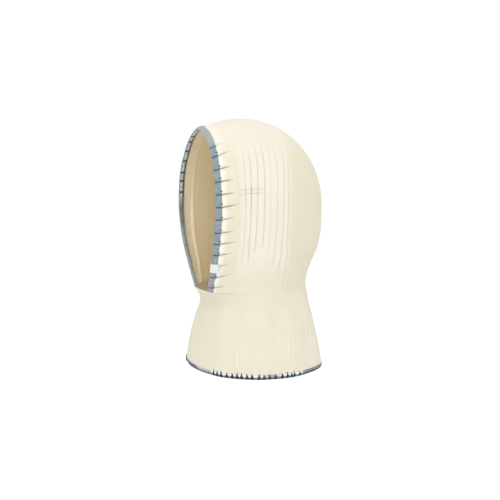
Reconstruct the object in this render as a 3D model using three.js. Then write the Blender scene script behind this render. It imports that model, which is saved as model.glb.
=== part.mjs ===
// Knitted open-face hood in its worn form, as it stands round a head.
// The ribbed hood, the tucked face band, the edging of the face opening, the flared neck cape, the edging
// of its hem and a small folded label are separate pieces, a seam's gap apart.
// Millimetres. +Z is up, -Y is where the face looks out, +X is the wearer's left.
// The origin is where the inside of the crown sits on top of the head.
import * as THREE from "three";

// Knit
const knitWall = 2.6;
const seamGap = 0.3;

// Heights
const crownToWidest = 130;
const widestToNeck = 119;
const capeHeight = 115;
const hemTiltHeight = 8;

// Head form, measured outside and from the seat's axis
const headWidth = 164;
const widestBehindSeat = 13;
const headBehindSeat = 131;
const headPower = 2.05;
const crownPower = 2.02;

// Face opening, measured at its rim
const openingWidth = 126;
const chinWidth = 43;
const rimAheadOfSeat = 71;
const chinAheadOfSeat = 63;
const rimTopAheadOfSeat = 64;
const rimTopDrop = 14.1;
const rimArchPower = 2.45;
const rimShoulderDrop = 11.8;
const rimPeakHeight = 13.3;
const rimPeakAhead = 5.7;
const rimPeakHalfWidth = 50;

// Neck, where the hood and the cape are joined
const neckWidth = 139;
const neckBehindSeat = 103;
const neckPower = 2.15;

// Hem of the cape
const hemWidth = 192;
const hemAheadOfSeat = 76;
const hemBehindSeat = 126.5;
const hemPower = 2.1;

// Face edging and the tucked band behind it
const edgingWidth = 9;
const edgingThickness = 4.6;
const bandWidth = 33;
const tuckCount = 13;
const tuckPitch = 18.05;
const firstTuck = 9;
const tuckDepth = 1.5;
const tuckBulgeHeight = 0.9;
const tuckMouthWidth = 2.6;
const tuckRiseHeight = 5.5;

// Vertical ribs of the hood's sides
const ribCount = 8;
const ribPitch = 9.9;
const firstRib = 10;
const ribGroove = 2.4;
const ribDepth = 0.9;
const ribFadeStart = 1.42;
const ribFadeEnd = 1.64;

// Hem edging
const hemEdgingHeight = 6;
const hemEdgingThickness = 4;
const stitchCount = 18;
const stitchPitch = 7;
const stitchValleyDepth = 0.8;

// Label, folded round the face edging
const labelLength = 14.5;
const labelThickness = 0.7;
const labelAboveNeck = 43.5;

// The hood below its widest level. up runs from the neck seam to the widest level, and the other columns
// are shares of the way from the neck's size to the head's.
const lowerHood = [
  { up: 0.0, width: 0.0, back: 0.0, rimWidth: 0.0, rimAhead: 0.0 },
  { up: 0.12, width: 0.12, back: 0.07, rimWidth: 0.16, rimAhead: 0.24 },
  { up: 0.3, width: 0.44, back: 0.38, rimWidth: 0.43, rimAhead: 0.48 },
  { up: 0.5, width: 0.8, back: 0.79, rimWidth: 0.67, rimAhead: 0.8 },
  { up: 0.75, width: 0.97, back: 0.98, rimWidth: 0.88, rimAhead: 0.98 },
  { up: 1.0, width: 1.0, back: 1.0, rimWidth: 1.0, rimAhead: 1.0 },
];

// The cape. down runs from the neck seam to the hem, and the other columns are shares of the way from the
// neck's size to the hem's.
const capeForm = [
  { down: 0.0, width: 0.0, front: 0.0, back: 0.0 },
  { down: 0.18, width: 0.02, front: -0.86, back: 0.22 },
  { down: 0.4, width: 0.3, front: -0.1, back: 0.47 },
  { down: 0.65, width: 0.63, front: 0.5, back: 0.7 },
  { down: 0.85, width: 0.86, front: 0.8, back: 0.89 },
  { down: 1.0, width: 1.0, front: 1.0, back: 1.0 },
];

// Soft folds of the cape. top and hem say where a fold starts and ends, as shares of the way round from the
// front to the back. from is how far down it starts. depth and breadth are shares of foldDepth and
// foldBreadth.
const foldDepth = 2.4;
const foldBreadth = 15;
const capeFolds = [
  { top: 0.16, hem: 0.2, from: 0.3, depth: 0.8, breadth: 1.0 },
  { top: 0.36, hem: 0.31, from: 0.35, depth: -0.5, breadth: 1.1 },
  { top: 0.52, hem: 0.45, from: 0.0, depth: -0.9, breadth: 0.7 },
  { top: 0.6, hem: 0.53, from: 0.0, depth: 0.7, breadth: 0.8 },
  { top: 0.72, hem: 0.67, from: 0.2, depth: -0.9, breadth: 0.9 },
  { top: 0.84, hem: 0.81, from: 0.3, depth: 0.8, breadth: 1.1 },
];

// Mesh steps
const hoodLowerRows = 7;
const hoodUpperRows = 9;
const backColumns = 7;
const bandColumns = 3;
const archTopRows = 5;
const capeRows = 7;
const capeColumns = 40;
const hemPlainColumns = 9;
const labelSteps = 6;
const sectionSteps = 120;

// Levels and places worked out from the sizes
const crownZ = knitWall;
const widestZ = crownZ - crownToWidest;
const neckZ = widestZ - widestToNeck;
const neckAheadOfSeat = neckNose();
const widestLevel = 1;
const topLevel = 2;
const halfTurn = Math.PI / 2;
const backRound = 1;
const hemDown = 1;

// Distance in front of the seat that a section through the rim would reach if it closed there
function nose(halfWidth, rimHalf, rimAhead, centre, power) {
  return (rimAhead + centre) / (1 - (rimHalf / halfWidth) ** power) ** (1 / power) - centre;
}

function neckNose() {
  return nose(neckWidth / 2, chinWidth / 2, chinAheadOfSeat, widestBehindSeat, neckPower);
}

const mix = (a, b, share) => a + (b - a) * share;

function smooth(from, to, value) {
  const s = Math.min(1, Math.max(0, (value - from) / (to - from)));
  return s * s * (3 - 2 * s);
}

// A smooth curve through one column of a table, without overshoot between its rows
function along(table, key, column, at) {
  const last = table.length - 1;
  let i = 0;
  while (i < last - 1 && at > table[i + 1][key]) i += 1;
  const slope = (k) => (table[k + 1][column] - table[k][column]) / (table[k + 1][key] - table[k][key]);
  const tangent = (k) => {
    if (k === 0) return slope(0);
    if (k === last) return column === "front" || key === "down" ? slope(last - 1) : 0;
    const before = slope(k - 1);
    const after = slope(k);
    return before * after <= 0 ? 0 : (2 * before * after) / (before + after);
  };
  const width = table[i + 1][key] - table[i][key];
  const s = (at - table[i][key]) / width;
  const rise = table[i + 1][column] - table[i][column];
  const a = tangent(i) * width;
  const b = tangent(i + 1) * width;
  return table[i][column] + s * (a + s * (3 * rise - 2 * a - b + s * (a + b - 2 * rise)));
}

// Half of a horizontal section as [x, y] points with their distance along it
function halfSection(halfWidth, ahead, behind, centre, power, fromX) {
  const points = [];
  const startAngle = Math.asin(Math.min(1, (fromX / halfWidth) ** (power / 2)));
  let travelled = 0;
  for (let i = 0; i <= sectionSteps; i += 1) {
    const angle = mix(startAngle, Math.PI, i / sectionSteps);
    const x = halfWidth * Math.abs(Math.sin(angle)) ** (2 / power);
    const reach = Math.abs(Math.cos(angle)) ** (2 / power);
    const y = angle < halfTurn ? centre - (ahead + centre) * reach : centre + (behind - centre) * reach;
    if (i) travelled += Math.hypot(x - points[i - 1].x, y - points[i - 1].y);
    points.push({ x: i === sectionSteps ? 0 : x, y, distance: travelled });
  }
  return points;
}

function pointAlong(section, distance) {
  const last = section.length - 1;
  let i = 1;
  while (i < last && section[i].distance < distance) i += 1;
  const a = section[i - 1];
  const b = section[i];
  const s = (distance - a.distance) / (b.distance - a.distance);
  return { x: mix(a.x, b.x, s), y: mix(a.y, b.y, s) };
}

const sectionStore = new Map();

// The hood's half section at a level from 0, the neck seam, to 1, the widest level, starting at the rim
function hoodSection(level) {
  const key = level.toFixed(6);
  if (!sectionStore.has(key)) {
    const share = (column) => along(lowerHood, "up", column, level);
    const halfWidth = mix(neckWidth, headWidth, share("width")) / 2;
    const rimHalf = mix(chinWidth, openingWidth, share("rimWidth")) / 2;
    const rimAhead = mix(chinAheadOfSeat, rimAheadOfSeat, share("rimAhead"));
    const behind = mix(neckBehindSeat, headBehindSeat, share("back"));
    const power = mix(neckPower, headPower, smooth(0, 1, level));
    const ahead = nose(halfWidth, rimHalf, rimAhead, widestBehindSeat, power);
    sectionStore.set(key, halfSection(halfWidth, ahead, behind, widestBehindSeat, power, rimHalf));
  }
  return sectionStore.get(key);
}

const sectionLength = (section) => section[section.length - 1].distance;
const hoodReach = sectionLength(hoodSection(widestLevel));

// Height of the line that runs over the middle of the crown
function crownLine(y) {
  if (y <= 0) {
    return crownZ - rimTopDrop * (y / rimTopAheadOfSeat) ** 2;
  }
  const reach = Math.min(1, y / headBehindSeat);
  return widestZ + crownToWidest * (1 - reach ** crownPower) ** (1 / crownPower);
}

// A point of the hood's smooth outer form on the wearer's left. across is the distance from the rim,
// measured at the widest level. level runs from 0 at the neck seam, through 1 at the widest level, to 2
// on top.
function hoodPoint(across, level) {
  const section = hoodSection(Math.min(level, widestLevel));
  const ribbed = (sectionLength(section) - bandWidth) / (hoodReach - bandWidth);
  const distance = across <= bandWidth ? across : bandWidth + (across - bandWidth) * ribbed;
  const { x, y } = pointAlong(section, distance);
  if (level <= widestLevel) {
    return new THREE.Vector3(x, y, mix(neckZ, widestZ, level));
  }
  const angle = (level - widestLevel) * halfTurn;
  const nearRim = 1 - smooth(0, bandWidth, across);
  const power = mix(crownPower, rimArchPower, nearRim);
  const inward = Math.max(0, Math.cos(angle)) ** (2 / power);
  const upward = Math.sin(angle) ** (2 / power);
  const lean = (rimAheadOfSeat - rimTopAheadOfSeat) * (1 - smooth(0, 2 * bandWidth, across));
  const leant = y + lean * upward ** 4;
  const top = crownLine(leant) - rimShoulderDrop * nearRim;
  const archX = level >= topLevel ? 0 : x * inward;
  const peak = nearRim * Math.max(0, 1 - archX / rimPeakHalfWidth);
  const archZ = mix(widestZ, top, upward) + rimPeakHeight * peak;
  return new THREE.Vector3(archX, leant - rimPeakAhead * peak, archZ);
}

// The way out of the smooth form at a point, from differences of neighbouring points
function hoodNormal(across, level) {
  const step = 0.4;
  const a = Math.max(0, across - step);
  const b = Math.min(hoodReach, across + step);
  const levelStep = 0.01;
  const low = Math.max(0, level - levelStep);
  const high = Math.min(topLevel, level + levelStep);
  const acrossWay = hoodPoint(b, level).sub(hoodPoint(a, level));
  const upWay = hoodPoint(across, high).sub(hoodPoint(across, low));
  const normal = acrossWay.cross(upWay).normalize();
  if (level >= topLevel || across >= hoodReach) normal.setX(0).normalize();
  if (level <= 0) normal.setZ(0).normalize();
  return normal;
}

// The back pole, where the columns above the widest level run together
const isPole = (across, level) => across >= hoodReach - 1e-6 && level > widestLevel;

// A point at a height over the smooth form, on the side given by 1, the wearer's left, or -1
function hoodSurface(side, across, level, height) {
  const atLevel = isPole(across, level) ? widestLevel : level;
  const normal = isPole(across, level) ? new THREE.Vector3(0, 1, 0) : hoodNormal(across, atLevel);
  const point = hoodPoint(across, atLevel).addScaledVector(normal, height);
  point.x = atLevel >= topLevel || across >= hoodReach ? 0 : Math.max(0, point.x) * side;
  return point;
}

// Collects triangles between shared corners and makes a geometry of them
class Surface {
  constructor() {
    this.corners = [];
    this.index = new Map();
    this.triangles = [];
  }

  corner(p) {
    const key = [p.x, p.y, p.z].map((v) => Math.round(v * 1e4)).join(",");
    if (!this.index.has(key)) {
      this.index.set(key, this.corners.length);
      this.corners.push(p);
    }
    return this.index.get(key);
  }

  triangle(a, b, c) {
    const [i, j, k] = [a, b, c].map((p) => this.corner(p));
    if (i !== j && j !== k && k !== i) this.triangles.push([i, j, k]);
  }

  quad(a, b, c, d) {
    this.triangle(a, b, c);
    this.triangle(a, c, d);
  }

  // Quads between two rows of points of the same length
  strip(first, second) {
    for (let i = 1; i < first.length; i += 1) {
      this.quad(first[i - 1], first[i], second[i], second[i - 1]);
    }
  }

  // Quads over a grid of rows
  sheet(rows) {
    for (let i = 1; i < rows.length; i += 1) this.strip(rows[i - 1], rows[i]);
  }

  // A flat or gently curved lid over a loop of points
  lid(loop) {
    const centre = new THREE.Vector3();
    loop.forEach((p) => centre.addScaledVector(p, 1 / loop.length));
    loop.forEach((p, i) => this.triangle(centre, p, loop[(i + 1) % loop.length]));
  }

  // Six times the volume inside the triangles, below zero where they face inward
  signedVolume() {
    return this.triangles.reduce((sum, [i, j, k]) => {
      const [a, b, c] = [i, j, k].map((n) => this.corners[n]);
      return sum + a.dot(b.clone().cross(c));
    }, 0);
  }

  geometry() {
    const positions = this.corners.flatMap((p) => [p.x, p.y, p.z]);
    const facingOut = this.signedVolume() > 0;
    const triangles = this.triangles.flatMap(([i, j, k]) => (facingOut ? [i, j, k] : [i, k, j]));
    const geometry = new THREE.BufferGeometry();
    geometry.setAttribute("position", new THREE.Float32BufferAttribute(positions, 3));
    geometry.setIndex(triangles);
    geometry.computeVertexNormals();
    return geometry;
  }
}

// A wall between an outer and an inner grid of rows. The named edges get a face, and the others close
// on themselves.
function wallGeometry(outer, inner, { firstRow, lastRow, firstPoint, lastPoint }) {
  const surface = new Surface();
  surface.sheet(outer);
  surface.sheet([...inner].reverse());
  const last = outer.length - 1;
  const edge = (grid, at) => grid.map((row) => row.at(at));
  if (firstRow) surface.strip(inner[0], outer[0]);
  if (lastRow) surface.strip(outer[last], inner[last]);
  if (firstPoint) surface.strip(edge(outer, 0), edge(inner, 0));
  if (lastPoint) surface.strip(edge(inner, -1), edge(outer, -1));
  return surface.geometry();
}

// A closed loop swept along stations, with a lid at each end unless it runs round in a ring
function sweptGeometry(loops, isRing) {
  const surface = new Surface();
  const closed = loops.map((loop) => [...loop, loop[0]]);
  surface.sheet(isRing ? [...closed, closed[0]] : closed);
  if (!isRing) {
    surface.lid([...loops[0]].reverse());
    surface.lid(loops.at(-1));
  }
  return surface.geometry();
}

// Distances up the rim from the chin, with the level of each
const rimSteps = 240;
const rimWay = [{ distance: 0, level: 0 }];
for (let i = 1; i <= rimSteps; i += 1) {
  const level = (i / rimSteps) * topLevel;
  const step = hoodPoint(0, level).distanceTo(hoodPoint(0, rimWay[i - 1].level));
  rimWay.push({ distance: rimWay[i - 1].distance + step, level });
}
const rimLength = rimWay.at(-1).distance;

function rimLevel(distance) {
  let i = 1;
  while (i < rimSteps && rimWay[i].distance < distance) i += 1;
  const a = rimWay[i - 1];
  const b = rimWay[i];
  return mix(a.level, b.level, (distance - a.distance) / (b.distance - a.distance));
}

// Stations up the rim from the chin: each tuck has its two lips, its bottom and the crest above it
function archStations() {
  const stations = [{ distance: 0, fold: 0 }];
  for (let i = 0; i < tuckCount; i += 1) {
    const distance = firstTuck + i * tuckPitch;
    stations.push({ distance: distance - tuckMouthWidth / 2, fold: 0.4 * tuckBulgeHeight });
    stations.push({ distance, fold: -tuckDepth });
    stations.push({ distance: distance + tuckMouthWidth / 2, fold: 0.5 * tuckBulgeHeight });
    stations.push({ distance: distance + tuckPitch / 2, fold: tuckBulgeHeight });
  }
  const topStart = stations.at(-1).distance;
  for (let i = 1; i <= archTopRows; i += 1) {
    stations.push({ distance: mix(topStart, rimLength, i / archTopRows), fold: 0 });
  }
  return stations;
}

const stations = archStations();

// Both sides' stations as one way over the arch, from the chin on the left to the chin on the right
const overTheArch = [
  ...stations.map((station) => ({ ...station, side: 1 })),
  ...stations.slice(0, -1).reverse().map((station) => ({ ...station, side: -1 })),
];

// A tuck climbs as it runs back from the edging, except at the chin and over the top
function climb(distance, back) {
  const room = Math.min(1, distance / tuckPitch, (rimLength - distance) / (2 * tuckPitch));
  return rimLevel(Math.min(rimLength, distance + tuckRiseHeight * room * back));
}

function faceBand() {
  const from = edgingWidth + seamGap;
  const grids = [0, -knitWall].map((height) => overTheArch.map(({ side, distance, fold }) => {
    const row = [];
    for (let i = 0; i <= bandColumns; i += 1) {
      const back = i / bandColumns;
      const across = mix(from, bandWidth, back);
      const shown = 1 - smooth(0.55, 1, back);
      row.push(hoodSurface(side, across, climb(distance, back), height + fold * shown));
    }
    return row;
  }));
  return wallGeometry(grids[0], grids[1], {
    firstRow: true, lastRow: true, firstPoint: true, lastPoint: true,
  });
}

// The edging's section, as shares of its width and of its half thickness, from the outside round the rim
const edgingSection = [
  { across: 1, out: 0.55 },
  { across: 0.5, out: 1 },
  { across: 0.08, out: 0.62 },
  { across: 0, out: -0.1 },
  { across: 0.12, out: -0.75 },
  { across: 0.55, out: -1 },
  { across: 1, out: -0.5 },
];
const edgingMiddle = -knitWall / 2;

function faceEdging() {
  const loops = overTheArch.map(({ side, distance, fold }) => edgingSection.map(({ across, out }) => {
    const pinch = fold < 0 ? 0.72 : 1;
    const height = edgingMiddle + (out * pinch * edgingThickness) / 2 + Math.min(0, fold) * 0.35;
    const inset = fold < 0 ? 0.09 * (1 - across) : 0;
    return hoodSurface(side, (across + inset) * edgingWidth, rimLevel(distance), height);
  }));
  return sweptGeometry(loops, false);
}

// How far a groove has sunk beside its middle line, fading out over the crown
function ribColumns() {
  const columns = [{ across: bandWidth + seamGap, sunk: 0 }];
  for (let i = 0; i < ribCount; i += 1) {
    const middle = bandWidth + firstRib + i * ribPitch;
    columns.push({ across: middle - ribGroove / 2, sunk: 0 });
    columns.push({ across: middle, sunk: 1 });
    columns.push({ across: middle + ribGroove / 2, sunk: 0 });
  }
  const backStart = columns.at(-1).across;
  for (let i = 1; i <= backColumns; i += 1) {
    columns.push({ across: mix(backStart, hoodReach, i / backColumns), sunk: 0 });
  }
  return columns;
}

function hoodLevels() {
  const levels = [];
  for (let i = 0; i < hoodLowerRows; i += 1) levels.push(i / hoodLowerRows);
  for (let i = 0; i <= hoodUpperRows; i += 1) levels.push(widestLevel + i / hoodUpperRows);
  return levels;
}

function hoodShell() {
  const levels = hoodLevels();
  const overTheTop = [
    ...levels.map((level) => ({ level, side: 1 })),
    ...levels.slice(0, -1).reverse().map((level) => ({ level, side: -1 })),
  ];
  const grids = [1, 0.5].map((ribShare, inner) => ribColumns().map(({ across, sunk }) => (
    overTheTop.map(({ level, side }) => {
      const fade = 1 - smooth(ribFadeStart, ribFadeEnd, level);
      const height = -inner * knitWall - sunk * ribDepth * ribShare * fade;
      return hoodSurface(side, across, level, height);
    }))));
  return wallGeometry(grids[0], grids[1], { firstRow: true, firstPoint: true, lastPoint: true });
}

// The cape's half section at a share of the way down from the neck seam to the hem
function capeSection(down) {
  const key = `cape ${down.toFixed(6)}`;
  if (!sectionStore.has(key)) {
    const share = (column) => along(capeForm, "down", column, down);
    const halfWidth = mix(neckWidth, hemWidth, share("width")) / 2;
    const ahead = mix(neckAheadOfSeat, hemAheadOfSeat, share("front"));
    const behind = mix(neckBehindSeat, hemBehindSeat, share("back"));
    const power = mix(neckPower, hemPower, down);
    sectionStore.set(key, halfSection(halfWidth, ahead, behind, widestBehindSeat, power, 0));
  }
  return sectionStore.get(key);
}

// How far the folds push the cape out at a share of the way round and down
function foldHeight(round, down) {
  return capeFolds.reduce((sum, fold) => {
    const middle = mix(fold.top, fold.hem, down);
    const breadth = (fold.breadth * foldBreadth) / sectionLength(capeSection(down));
    const across = (round - middle) / breadth;
    const grown = smooth(fold.from, Math.min(1, fold.from + 0.5), down);
    return sum + fold.depth * foldDepth * grown * Math.exp(-across * across);
  }, 0);
}

// A point of the cape's smooth outer form. round runs from 0 at the front to 1 at the back.
function capePoint(round, down) {
  const section = capeSection(down);
  const { x, y } = pointAlong(section, round * sectionLength(section));
  const tilt = (hemTiltHeight * (y - widestBehindSeat)) / (hemAheadOfSeat + hemBehindSeat);
  return new THREE.Vector3(round >= backRound ? 0 : x, y, neckZ - seamGap - down * (capeHeight + tilt));
}

function capeNormal(round, down) {
  const step = 0.004;
  const ahead = Math.min(backRound, round + step);
  const below = Math.min(hemDown, down + step);
  const roundWay = capePoint(ahead, down).sub(capePoint(Math.max(0, round - step), down));
  const downWay = capePoint(round, below).sub(capePoint(round, Math.max(0, down - step)));
  const normal = downWay.cross(roundWay).normalize();
  if (round <= 0 || round >= backRound) normal.setX(0).normalize();
  if (down <= 0) normal.setZ(0).normalize();
  return normal;
}

// A point at a height over the cape, pushed on down past it by a drop
function capeSurface(side, round, down, height, drop = 0) {
  const point = capePoint(round, down).addScaledVector(capeNormal(round, down), height);
  point.x = round <= 0 || round >= backRound ? 0 : point.x * side;
  point.z -= drop;
  return point;
}

// Both sides' shares as one way round, from the front over the left, the back and the right
function wayRound(shares) {
  return [
    ...shares.map((round) => ({ round, side: 1 })),
    ...shares.slice(1, -1).reverse().map((round) => ({ round, side: -1 })),
  ];
}

function neckCape() {
  const shares = Array.from({ length: capeColumns + 1 }, (_, i) => i / capeColumns);
  const round = [...wayRound(shares), { round: 0, side: 1 }];
  const grids = [0, -knitWall].map((height) => Array.from({ length: capeRows + 1 }, (_, i) => {
    const down = i / capeRows;
    return round.map((at) => capeSurface(at.side, at.round, down, height + foldHeight(at.round, down)));
  }));
  return wallGeometry(grids[0], grids[1], { firstRow: true, lastRow: true });
}

// The hem edging's section, as shares of its half thickness and of its height, from the outside
const hemSection = [
  { out: 0.7, drop: 0 },
  { out: 1, drop: 0.45 },
  { out: 0.75, drop: 0.9 },
  { out: -0.2, drop: 1 },
  { out: -0.9, drop: 0.6 },
  { out: -0.7, drop: 0 },
];

// Shares round the hem. The stitched stretch lies on each side, between plain ones at the front and
// the back.
function hemStations() {
  const length = sectionLength(capeSection(hemDown));
  const stitched = (stitchCount * stitchPitch) / length;
  const start = 0.47 - stitched / 2;
  const shares = [];
  for (let i = 0; i < hemPlainColumns; i += 1) {
    shares.push({ round: (start * i) / hemPlainColumns, valley: 0 });
  }
  for (let i = 0; i < stitchCount; i += 1) {
    const round = start + (stitched * i) / stitchCount;
    shares.push({ round, valley: 1 });
    shares.push({ round: round + (0.3 * stitchPitch) / length, valley: 0 });
    shares.push({ round: round + (0.7 * stitchPitch) / length, valley: 0 });
  }
  const end = start + stitched;
  for (let i = 0; i <= hemPlainColumns; i += 1) {
    shares.push({ round: mix(end, backRound, i / hemPlainColumns), valley: 0 });
  }
  return shares;
}

function hemEdging() {
  const way = wayRound(hemStations());
  const loops = way.map(({ round: station, side }) => hemSection.map(({ out, drop }) => {
    const valley = out > 0 ? station.valley * stitchValleyDepth : 0;
    const fold = foldHeight(station.round, hemDown);
    const height = edgingMiddle + (out * hemEdgingThickness) / 2 - valley + fold;
    return capeSurface(side, station.round, hemDown, height, seamGap + drop * hemEdgingHeight);
  }));
  return sweptGeometry(loops, true);
}

// A path of [across, height] points moved out by a gap, square to its legs
function movedOut(path, gap) {
  const legNormal = (i) => {
    const leg = new THREE.Vector2().subVectors(path[i + 1], path[i]).normalize();
    return new THREE.Vector2(leg.y, -leg.x);
  };
  return path.map((point, i) => {
    const before = legNormal(Math.max(0, i - 1));
    const after = legNormal(Math.min(path.length - 2, i));
    const way = before.clone().add(after).normalize();
    return point.clone().addScaledVector(way, gap / way.dot(before));
  });
}

// The label lies round the edging's section, one clearance and one thickness further out
function foldedLabel() {
  const [backEdge, crest] = edgingSection;
  const start = { across: mix(backEdge.across, crest.across, 0.2), out: mix(backEdge.out, crest.out, 0.2) };
  const path = [start, ...edgingSection.slice(1, -1)].map(({ across, out }) => (
    new THREE.Vector2(across * edgingWidth, edgingMiddle + (out * edgingThickness) / 2)));
  const grids = [labelThickness, 0].map((layer) => Array.from({ length: labelSteps + 1 }, (_, i) => {
    const level = rimLevel(labelAboveNeck + labelLength * (i / labelSteps - 0.5));
    return movedOut(path, seamGap + layer).map(({ x, y }) => hoodSurfaceAhead(x, level, y));
  }));
  return wallGeometry(grids[0], grids[1], {
    firstRow: true, lastRow: true, firstPoint: true, lastPoint: true,
  });
}

// As hoodSurface on the wearer's left, but it may lie in front of the rim
function hoodSurfaceAhead(across, level, height) {
  if (across >= 0) return hoodSurface(1, across, level, height);
  const rim = hoodPoint(0, level);
  const way = rim.clone().sub(hoodPoint(1, level)).normalize();
  return rim.addScaledVector(way, -across).addScaledVector(hoodNormal(0, level), height);
}

// Materials
const creamKnit = new THREE.MeshStandardMaterial({ color: 0xf1e9d4, roughness: 0.95, metalness: 0 });
const creamBand = new THREE.MeshStandardMaterial({ color: 0xf3ecd9, roughness: 0.95, metalness: 0 });
const slateYarn = new THREE.MeshStandardMaterial({ color: 0x8d9cab, roughness: 0.9, metalness: 0 });
const slateHem = new THREE.MeshStandardMaterial({ color: 0x6f7c8c, roughness: 0.9, metalness: 0 });
const labelWhite = new THREE.MeshStandardMaterial({ color: 0xf2f3f1, roughness: 0.7, metalness: 0 });

function piece(name, geometry, material) {
  const mesh = new THREE.Mesh(geometry, material);
  mesh.name = name;
  return mesh;
}

const balaclava = new THREE.Group();
balaclava.name = "balaclava";
balaclava.add(
  piece("hood_shell", hoodShell(), creamKnit),
  piece("face_band", faceBand(), creamBand),
  piece("face_edging", faceEdging(), slateYarn),
  piece("neck_cape", neckCape(), creamKnit),
  piece("hem_edging", hemEdging(), slateHem),
  piece("folded_label", foldedLabel(), labelWhite),
);

export default balaclava;
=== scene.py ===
import math

import bmesh
import bpy
import numpy as np
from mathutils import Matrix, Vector


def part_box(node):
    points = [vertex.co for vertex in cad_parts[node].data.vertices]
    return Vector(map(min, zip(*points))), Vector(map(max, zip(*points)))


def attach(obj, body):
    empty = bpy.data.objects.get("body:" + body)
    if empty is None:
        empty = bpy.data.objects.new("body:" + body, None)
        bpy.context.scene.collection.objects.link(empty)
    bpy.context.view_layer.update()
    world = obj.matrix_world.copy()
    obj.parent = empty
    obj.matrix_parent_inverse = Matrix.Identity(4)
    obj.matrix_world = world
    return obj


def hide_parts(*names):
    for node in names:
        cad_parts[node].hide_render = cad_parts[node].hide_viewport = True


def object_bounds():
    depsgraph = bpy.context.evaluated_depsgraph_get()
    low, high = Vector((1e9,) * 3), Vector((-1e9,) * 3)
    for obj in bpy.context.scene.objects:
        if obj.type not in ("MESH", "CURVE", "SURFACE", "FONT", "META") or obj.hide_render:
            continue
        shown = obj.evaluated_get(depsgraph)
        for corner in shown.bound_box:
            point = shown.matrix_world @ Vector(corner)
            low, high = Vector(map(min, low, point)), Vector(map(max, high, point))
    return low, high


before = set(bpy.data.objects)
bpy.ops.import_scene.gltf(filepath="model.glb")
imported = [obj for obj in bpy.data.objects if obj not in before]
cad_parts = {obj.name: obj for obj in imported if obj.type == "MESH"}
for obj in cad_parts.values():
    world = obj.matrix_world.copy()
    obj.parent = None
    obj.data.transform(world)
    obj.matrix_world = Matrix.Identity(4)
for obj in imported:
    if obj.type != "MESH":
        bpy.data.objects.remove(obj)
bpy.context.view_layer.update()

MM = 0.001


def box_mm(node):
    low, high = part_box(node)
    return np.array(low) / MM, np.array(high) / MM


# Sizes read from the frame
hood_low, hood_high = box_mm("hood_shell")
HEAD_WIDTH = hood_high[0] - hood_low[0]
HEAD_BEHIND_SEAT = hood_high[1]
CROWN_Z = hood_high[2]
NECK_Z = hood_low[2]

# Sizes that the part's own form follows
KNIT_WALL = 2.6
SEAM_GAP = 0.3
VISIBLE_GAP = 0.03
CROWN_TO_WIDEST = 130.0
WIDEST_Z = CROWN_Z - CROWN_TO_WIDEST
CENTRE_Y = 13.0
HEAD_POWER = 2.05
CROWN_POWER = 2.02
OPENING_WIDTH = 126.0
CHIN_WIDTH = 43.0
RIM_AHEAD = 71.0
CHIN_AHEAD = 63.0
RIM_TOP_AHEAD = 64.0
RIM_TOP_DROP = 14.1
RIM_ARCH_POWER = 2.45
RIM_PEAK = 13.3
RIM_PEAK_AHEAD = 5.7
RIM_PEAK_HALF_WIDTH = 50.0
RIM_SHOULDER_DROP = 11.8
NECK_WIDTH = 139.0
NECK_BEHIND = 103.0
NECK_POWER = 2.15
HEM_WIDTH = 192.0
HEM_AHEAD = 76.0
HEM_BEHIND = 126.5
HEM_POWER = 2.1
CAPE_DROP = 115.0
HEM_TILT = 8.0
BAND_WIDTH = 33.0
EDGING_WIDTH = 9.0
EDGING_THICKNESS = 4.6
FOLD_DEPTH = 2.4
FOLD_BREADTH = 15.0

# Shares of the way from the neck's size to the head's, by the share of the way up
LOWER_HOOD = {
    "up": [0.0, 0.12, 0.3, 0.5, 0.75, 1.0],
    "width": [0.0, 0.12, 0.44, 0.8, 0.97, 1.0],
    "back": [0.0, 0.07, 0.38, 0.79, 0.98, 1.0],
    "rim_width": [0.0, 0.16, 0.43, 0.67, 0.88, 1.0],
    "rim_ahead": [0.0, 0.24, 0.48, 0.8, 0.98, 1.0],
}

# Shares of the way from the neck's size to the hem's, by the share of the way down
CAPE_FORM = {
    "down": [0.0, 0.18, 0.4, 0.65, 0.85, 1.0],
    "width": [0.0, 0.02, 0.3, 0.63, 0.86, 1.0],
    "front": [0.0, -0.86, -0.1, 0.5, 0.8, 1.0],
    "back": [0.0, 0.22, 0.47, 0.7, 0.89, 1.0],
}


def rows_of(names, *rows):
    """A table's rows as dictionaries by the names of its columns."""
    return [dict(zip(names.split(), row)) for row in rows]


# Soft folds of the cape: where each starts and ends round from the front, how far down it starts, and its
# shares of the depth and breadth
CAPE_FOLDS = rows_of(
    "top hem from depth breadth",
    (0.16, 0.20, 0.30, 0.8, 1.0),
    (0.36, 0.31, 0.35, -0.5, 1.1),
    (0.52, 0.45, 0.00, -0.9, 0.7),
    (0.60, 0.53, 0.00, 0.7, 0.8),
    (0.72, 0.67, 0.20, -0.9, 0.9),
    (0.84, 0.81, 0.30, 0.8, 1.1),
)


def mix(a, b, share):
    return a + (b - a) * share


def smooth(start, end, value):
    s = clamp((value - start) / (end - start))
    return s * s * (3 - 2 * s)


def fade(start, end, value):
    return 1 - smooth(start, end, value)


def clamp(value):
    return np.clip(value, 0, 1)


def bump_at(value, middle, half_width):
    """A round bump of height 1 at middle, 0 beyond half_width."""
    s = clamp(np.abs(value - middle) / half_width)
    return (1 - s * s) ** 2


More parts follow.
